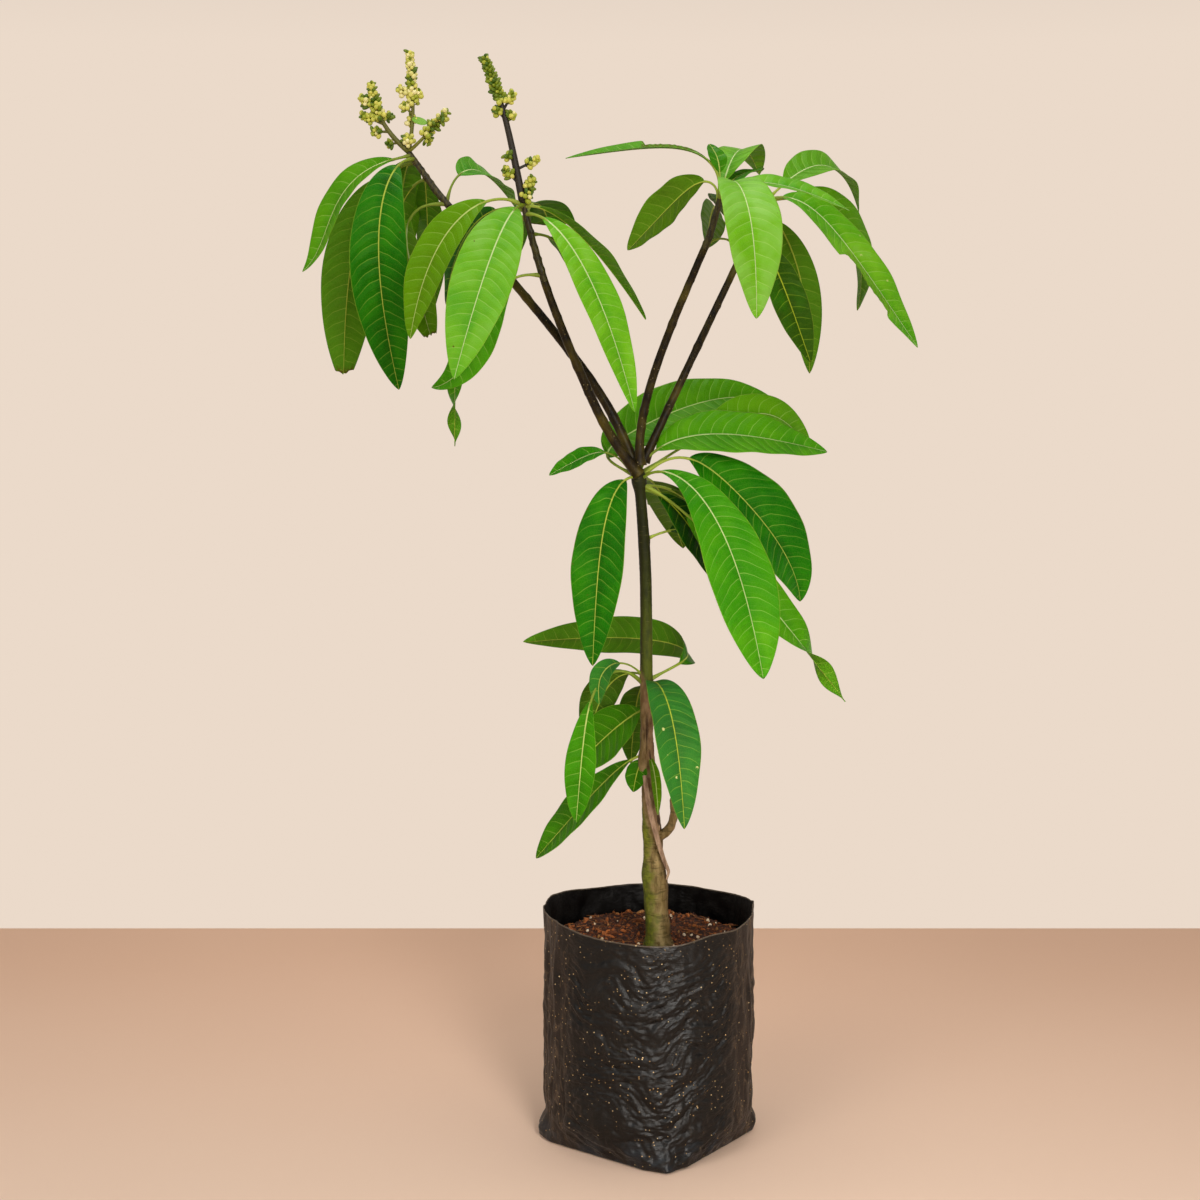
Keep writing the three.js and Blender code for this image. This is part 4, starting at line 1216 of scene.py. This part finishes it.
def fibre_part(luck):
    spot = mix_spot(luck, 98) + [0, 0, 1.6]
    growth = {"heading": luck.uniform(0, 360), "rise": luck.uniform(-4, 14),
              "fall": luck.uniform(-16, 6), "turn": luck.uniform(-90, 90), "turn_at": 0.5}
    curve = Curve(spot, growth, luck.uniform(8, 24))
    shares = np.linspace(0, 1, 9)
    radii = luck.uniform(0.25, 0.6) * (1 - 0.6 * shares)
    return curve_tube(curve, shares, radii, 5, crumb=(luck.uniform(), 0.9, 1))


def grain_part(luck):
    spot = mix_spot(luck, 100, 0.03) + [0, 0, 1.6]
    size = luck.uniform(0.9, 2.2) * np.array([1, luck.uniform(0.7, 1), luck.uniform(0.6, 0.9)])
    grain = pebble((0, 0, 0), size, 6, random_turn(luck), crumb=(luck.uniform(), luck.uniform(), 2))
    bumpy = 1 + 0.16 * roughness(grain.verts + luck.uniform(0, 50, 3), 1.1, 2)
    grain.verts = grain.verts * bumpy[:, None] + spot
    return grain


def add_mix(finishes):
    mix = lofted("mix_body", MIX_GRID, mix_place)
    mix.data.materials.append(finishes["mix"])
    placed(mix, ["potting_mix"])
    luck = np.random.default_rng(SEED + 3)
    chips = [chip_part(luck) for _ in range(CHIPS)]
    fibres = [fibre_part(luck) for _ in range(FIBRES)]
    grains = [grain_part(luck) for _ in range(GRAINS)]
    piece_of("mix_crumbs", chips + fibres, finishes["crumb"], ["potting_mix"])
    piece_of("perlite_grains", grains, finishes["perlite"], ["potting_mix"])


# ---- Finishes ----

LEAF_GREENS = [
    (0.0, linear(2, 58, 0)), (0.2, linear(18, 100, 0)), (0.4, linear(48, 130, 4)),
    (0.55, linear(72, 148, 12)), (0.7, linear(106, 172, 30)), (0.85, linear(130, 186, 78)),
    (1.0, linear(152, 200, 110)),
]
LEAF_SHINE, LEAF_TINT = 0.22, (0.55, 1.0, 0.25)
VEIN_SPACING = 12.6


def leaf_finish():
    """Green above with pale arching veins, olive and matt below."""
    leaf = Finish("mango leaf")
    along, across, edge = leaf.attribute("blade")
    share, tone, olive = leaf.attribute("look")
    under, seed, harm = leaf.attribute("face")
    off, margin = abs(across), abs(edge)
    flat = leaf.joined(along + seed * 900, across, seed * 70)
    drift = leaf.noise(flat, 0.03, 2)
    patch = leaf.noise(flat, 0.022, 3)
    arch = off * 0.2 + off * off * 0.017
    phase = (along - arch + across.math("SIGN") * 2.6 + drift * 9) / VEIN_SPACING
    gap = abs(phase.math("FRACT") - 0.5) * VEIN_SPACING
    vein = gap.below(0.1, 0.62) * (1 - margin**3 * 0.9)
    small_gap = abs((phase * 2 + drift * 0.6).math("FRACT") - 0.5) * (VEIN_SPACING / 2)
    small_vein = small_gap.below(0.05, 0.4) * (1 - margin)
    net = leaf.cells(flat, 0.45, "DISTANCE_TO_EDGE").below(0.02, 0.12)
    rib = (off / (1.1 - share * 0.8)).below(0.45, 1.05)
    # Painted shade: the green is darker in the groove along the midrib.
    midrib_groove_shade = (off / 9).below(0, 1) * 0.06
    # Painted shade: tone is partly each leaf's own green and partly shade painted on leaves deep in
    # the crown.
    shade = (tone + (patch - 0.5) * 0.5 + (drift - 0.5) * 0.14 - midrib_groove_shade).clamped()
    green = leaf.node("ShaderNodeValToRGB", {"stops": LEAF_GREENS}, [shade])
    # Painted light: the yellow that olive adds is partly the leaf's own colour and partly a painted
    # glow of light shining through leaves lit from behind.
    yellow = (olive + (patch - 0.5) * 0.3 * olive).clamped()
    green = leaf.mix(yellow * 0.9, green, linear(122, 146, 6))
    green = leaf.mix((olive * -1).clamped(), green, linear(66, 124, 62))
    pale = leaf.mix(tone, linear(134, 166, 40), linear(176, 214, 120))
    veined = leaf.mix((vein * 0.46 + small_vein * 0.09 + net * 0.05).clamped(), green, pale)
    spine = leaf.mix(tone.above(0.1, 0.6), linear(176, 190, 52), linear(206, 226, 158))
    ribbed = leaf.mix(rib * 0.9, veined, spine)
    rimmed = leaf.mix(margin.above(0.965, 0.99) * 0.45, ribbed, linear(150, 176, 60))
    below = leaf.mix(0.4, green, linear(92, 132, 34))
    below = leaf.mix((vein * 0.4 + net * 0.08).clamped(), below, linear(150, 176, 70))
    below = leaf.mix(rib * 0.9, below, linear(176, 192, 74))
    spots = leaf.cells(flat, 0.045)
    spot = spots.below(0.03, 0.055) * leaf.noise(flat, 0.011, 1).above(0.5, 0.56)
    eaten = harm.clamped() * leaf.noise(flat, 0.3, 3).above(0.35, 0.6)
    dead = (harm * -1).clamped() * leaf.cells(flat, 0.055).below(0.07, 0.11)
    dead = dead * leaf.noise(flat, 0.25, 3).above(0.4, 0.5)
    colour = leaf.mix(under, rimmed, below)
    colour = leaf.mix((spot * 0.85 + eaten).clamped(), colour, linear(84, 56, 26))
    colour = leaf.mix(dead, colour, linear(206, 206, 130))
    quilt = (gap / (VEIN_SPACING / 2)).clamped() * 0.85 - net * 0.1
    quilt = quilt + leaf.noise(flat, 0.5, 3) * 0.1
    bump = leaf.bump(quilt + rib * 0.5, 0.0012, 0.8)
    gloss = 0.34 + leaf.noise(flat, 0.06, 3) * 0.14 + under * 0.2 + eaten * 0.3
    return leaf.finished(colour, gloss, bump, LEAF_SHINE, LEAF_TINT)


def stalk_finish():
    """Yellow-green leaf stalks with a browner foot, and the dark olive skin of the shoot."""
    stalk = Finish("leaf stalk")
    kind, share, seed = stalk.attribute("stem")
    place = stalk.place()
    grain = stalk.noise(stalk.stretched(place, (1, 1, 0.3)), 420, 4)
    green = stalk.mix(seed, linear(104, 128, 24), linear(158, 178, 60))
    green = stalk.mix(share.below(0.05, 0.24) * 0.55, green, linear(88, 84, 26))
    bark = stalk.mix(grain.above(0.35, 0.7), linear(34, 30, 8), linear(72, 66, 24))
    spots = stalk.cells(place, 520).below(0.08, 0.22)
    bark = stalk.mix(spots * 0.5, bark, linear(132, 122, 76))
    colour = stalk.mix(kind, bark, green)
    colour = stalk.mix(grain.above(0.62, 0.78) * 0.15, colour, linear(70, 54, 18))
    bump = stalk.bump(grain, 0.0004, 0.6)
    return stalk.finished(colour, 0.45 + grain * 0.15, bump, 0.4)


def bark_finish():
    """Olive and tan below, pinkish strips and dark seams at the graft, olive green above."""
    bark = Finish("trunk bark")
    east, _, height = bark.attribute("stem")
    place = bark.place()
    grain = bark.noise(bark.stretched(place, (1, 1, 0.35)), 150, 6, 0.6)
    rings = bark.noise(bark.stretched(place, (0.15, 0.15, 1)), 620, 4, 0.6)
    creases = bark.noise(bark.stretched(place, (0.2, 0.2, 1)), 300, 3, 0.5, 0.9)
    patches = bark.noise(place, 52, 3)
    crust = bark.noise(place, 210, 5, 0.6, 0.5)
    seams = bark.noise(bark.stretched(place, (1, 1, 0.14)), 95, 3, 0.5, 0.6)
    level = height + (grain - 0.5) * 46 + east * 16
    foot = level.below(346, 366)
    base = level.below(492, 512)
    green = bark.mix(crust.above(0.3, 0.7), linear(62, 74, 4), linear(100, 110, 18))
    tan = bark.mix(grain.above(0.3, 0.7), linear(92, 76, 40), linear(148, 128, 84))
    tan = bark.mix(east.above(0.3, 0.95) * 0.6, tan, linear(78, 56, 32))
    mossy = (east * -0.85 + (grain - 0.5) * 1.2 + (patches - 0.5) * 2.6).above(-0.25, 0.75)
    foot_colour = bark.mix(mossy * 0.88, tan, green)
    # Painted shade: the foot's bark is darker along the low lines of the creases, which are also
    # the grooves of its bump.
    foot_colour = bark.mix(creases.below(0.36, 0.46) * 0.55, foot_colour, linear(58, 52, 20))
    strips = bark.mix(grain.above(0.3, 0.7), linear(92, 66, 44), linear(160, 132, 100))
    strips = bark.mix(mossy * 0.3, strips, linear(112, 110, 48))
    seam = seams.below(0.39, 0.46) * height.below(455, 485)
    dark = (seam * 0.85 + rings.above(0.62, 0.72) * 0.4).clamped()
    strips = bark.mix(dark, strips, linear(44, 30, 20))
    young = bark.mix(grain.above(0.3, 0.72), linear(48, 58, 4), linear(80, 90, 16))
    shaded = (east * -1 + (grain - 0.5) * 0.6).above(0.2, 0.9)
    young = bark.mix(shaded * 0.7, young, linear(34, 30, 12))
    young = bark.mix(height.above(540, 660) * 0.8, young, linear(30, 28, 8))
    young = bark.mix(rings.above(0.6, 0.72) * 0.35, young, linear(118, 112, 66))
    colour = bark.mix(foot, bark.mix(base, young, strips), foot_colour)
    loose = bark.mix(grain.above(0.3, 0.7), linear(104, 80, 64), linear(176, 148, 122))
    colour = bark.mix(east.above(1.4, 1.6), colour, loose)
    relief = grain * 0.5 + rings * 0.3 + creases * base * 0.9 - seam
    bump = bark.bump(relief, 0.0013, 0.85)
    return bark.finished(colour, 0.55 + crust * 0.2, bump, 0.25)


def bough_finish():
    """Near-black olive skin, slightly glossy, with pale lenticels."""
    skin = Finish("bough skin")
    place = skin.place()
    grain = skin.noise(skin.stretched(place, (1, 1, 0.4)), 220, 5, 0.6)
    broad = skin.noise(place, 28, 3)
    spots = skin.cells(place, 260)
    spot = spots.below(0.1, 0.24) * skin.noise(place, 90, 2).above(0.5, 0.62)
    colour = skin.mix(grain.above(0.3, 0.7), linear(18, 12, 2), linear(50, 40, 10))
    colour = skin.mix(broad.above(0.46, 0.66) * 0.65, colour, linear(88, 78, 24))
    colour = skin.mix(spot * 0.7, colour, linear(140, 126, 84))
    bump = skin.bump(grain * 0.6 + spot * 0.8, 0.0006, 0.8)
    return skin.finished(colour, 0.36 + grain * 0.2, bump, 0.2)


def flower_finish():
    """Green to near-black stalks with green, yellow-green and cream buds."""
    bloom = Finish("flower buds")
    kind, seed, dark = bloom.attribute("bud")
    place = bloom.place()
    speck = bloom.noise(place, 700, 3)
    green = bloom.mix(seed, linear(118, 122, 26), linear(146, 148, 48))
    green = bloom.mix(dark, green, linear(30, 24, 8))
    bract = bloom.mix(seed, linear(62, 96, 6), linear(124, 142, 24))
    bud = bloom.mix(seed, linear(140, 156, 26), linear(212, 208, 96))
    cream = bloom.mix(seed, linear(204, 200, 96), linear(238, 230, 168))
    colour = green
    shades = {BRACT: bract, BUD: bud, CREAM: cream, SMALL_LEAF: linear(116, 168, 52)}
    for number, shade in shades.items():
        colour = bloom.mix(kind.above(number - 0.6, number - 0.4), colour, shade)
    colour = bloom.mix(speck.above(0.55, 0.75) * 0.25, colour, linear(98, 84, 30))
    return bloom.finished(colour, 0.5 + speck * 0.1, bloom.bump(speck, 0.0003, 0.7))


def bag_finish():
    """Black film with a soft sheen, brown dust beside its edges and pale specks of soil."""
    film = Finish("black film")
    beside, height, inner = film.attribute("film")
    place = film.place()
    # One noise gives the film's dust and also the patches of painted sheen at the foot.
    dust_and_sheen = film.noise(place, 38, 5, 0.6)
    fine = film.noise(film.stretched(place, (1, 1, 2.2)), 190, 4, 0.55)
    wires = film.noise(film.stretched(place, (1, 1, 0.22)), 60, 3, 0.5, 1.2)
    wire = abs(wires - 0.5).below(0.003, 0.022)
    picked = film.parts(film.cells(place, 260, output="Color"))
    dots = film.cells(place, 260).below(0.12, 0.2) * picked[0].above(0.62, 0.64)
    lying = film.stretched(place, (0.3, 0.3, 1))
    picked_lying = film.parts(film.cells(lying, 230, output="Color"))
    dashes = film.cells(lying, 230).below(0.05, 0.1) * picked_lying[0].above(0.86, 0.88)
    speck = (dots + dashes).clamped() * film.noise(place, 16, 2).above(0.36, 0.5) * (1 - inner)
    brown = (beside * 0.75 + height.below(8, 50) * 0.15) * dust_and_sheen.above(0.25, 0.6)
    colour = film.mix(dust_and_sheen.above(0.4, 0.75), linear(5, 5, 6), linear(17, 16, 15))
    colour = film.mix(brown * (1 - inner), colour, linear(42, 33, 27))
    colour = film.mix(wire * (beside * 0.35 + 0.04) * (1 - inner), colour, linear(106, 88, 70))
    # Painted highlight: a pale line along the film's cut edge at the rim.
    colour = film.mix(height.above(246.4, 247.4) * 0.6, colour, linear(104, 92, 78))
    # Painted highlight: bluish sheen in patches on the crumpled folds at the foot, where the film
    # is also made glossier.
    foot = height.below(12, 40) * dust_and_sheen.above(0.45, 0.6)
    colour = film.mix(foot * 0.7, colour, linear(30, 36, 42))
    soil = film.mix(picked[1], linear(170, 126, 70), linear(244, 216, 164))
    colour = film.mix(speck * 0.95, colour, soil)
    gloss = 0.33 + dust_and_sheen.above(0.3, 0.75) * 0.16 + beside * 0.12 + speck * 0.4 - foot * 0.14
    bump = film.bump(fine + dust_and_sheen * 0.5 + speck * 0.6, 0.0012, 0.6)
    return film.finished(colour, gloss, bump, 0.3)


def mix_finish():
    """Moist red-brown coir."""
    soil = Finish("moist coir")
    place = soil.place()
    grain = soil.noise(place, 210, 6, 0.7)
    lumps = soil.cells(place, 240)
    colour = soil.mix(grain.above(0.3, 0.7), linear(54, 26, 9), linear(130, 68, 28))
    colour = soil.mix(lumps.above(0.3, 0.5) * 0.7, colour, linear(20, 10, 4))
    return soil.finished(colour, 0.85 + grain * 0.1, soil.bump(grain + lumps, 0.0016, 0.9))


def crumb_finish():
    """Chips and fibres of coir, from dark to orange-brown, with some of straw."""
    soil = Finish("coir crumbs")
    tone, pale, _ = soil.attribute("crumb")
    place = soil.place()
    grain = soil.noise(place, 500, 4, 0.7)
    colour = soil.mix(tone, linear(62, 30, 12), linear(176, 98, 46))
    colour = soil.mix(pale.above(0.86, 0.96) * 0.7, colour, linear(176, 128, 74))
    colour = soil.mix(grain.above(0.4, 0.7) * 0.4, colour, linear(36, 18, 8))
    return soil.finished(colour, 0.8 + grain * 0.1, soil.bump(grain, 0.0008, 0.8))


def perlite_finish():
    """Off-white grains with soil in their pores."""
    grain = Finish("perlite")
    tone, _, _ = grain.attribute("crumb")
    place = grain.place()
    pores = grain.cells(place, 900)
    dirt = grain.noise(place, 320, 3)
    colour = grain.mix(tone, linear(214, 186, 146), linear(250, 234, 208))
    colour = grain.mix(dirt.above(0.5, 0.72) * 0.6, colour, linear(150, 104, 66))
    return grain.finished(colour, 0.8 + dirt * 0.1, grain.bump(pores, 0.0005, 0.8))


def floor_finish():
    floor = Finish("studio floor")
    speckle = floor.noise(floor.place(), 3, 4)
    depth = floor.parts(floor.place())[1]
    # Painted shade: the floor grows darker towards the back.
    colour = floor.mix(depth.above(-0.6, 0.8) * 0.9 + speckle * 0.1, *FLOOR_COLOUR_AND_BACK_SHADE)
    return floor.finished(colour, 0.8 + speckle * 0.05)


# ---- The scene ----

def add_floor():
    bpy.ops.object.select_all(action="DESELECT")
    bpy.ops.mesh.primitive_plane_add(size=2)
    floor = bpy.context.object
    floor.name = "studio_floor"
    for corner in floor.data.vertices:
        x, y, _ = corner.co
        corner.co = (x * FLOOR["half width"], FLOOR["back"] if y > 0 else FLOOR["front"], -0.0005)
    floor.data.materials.append(floor_finish())


add_camera()
add_lights()
add_floor()
finishes = {
    "leaf": leaf_finish(), "stalk": stalk_finish(), "bark": bark_finish(), "bough": bough_finish(),
    "flower": flower_finish(), "bag": bag_finish(), "mix": mix_finish(), "crumb": crumb_finish(),
    "perlite": perlite_finish(),
}
add_bag(finishes)
add_mix(finishes)
add_trunk(finishes)
add_boughs(finishes)
add_foliage(finishes)
add_flowers(finishes)
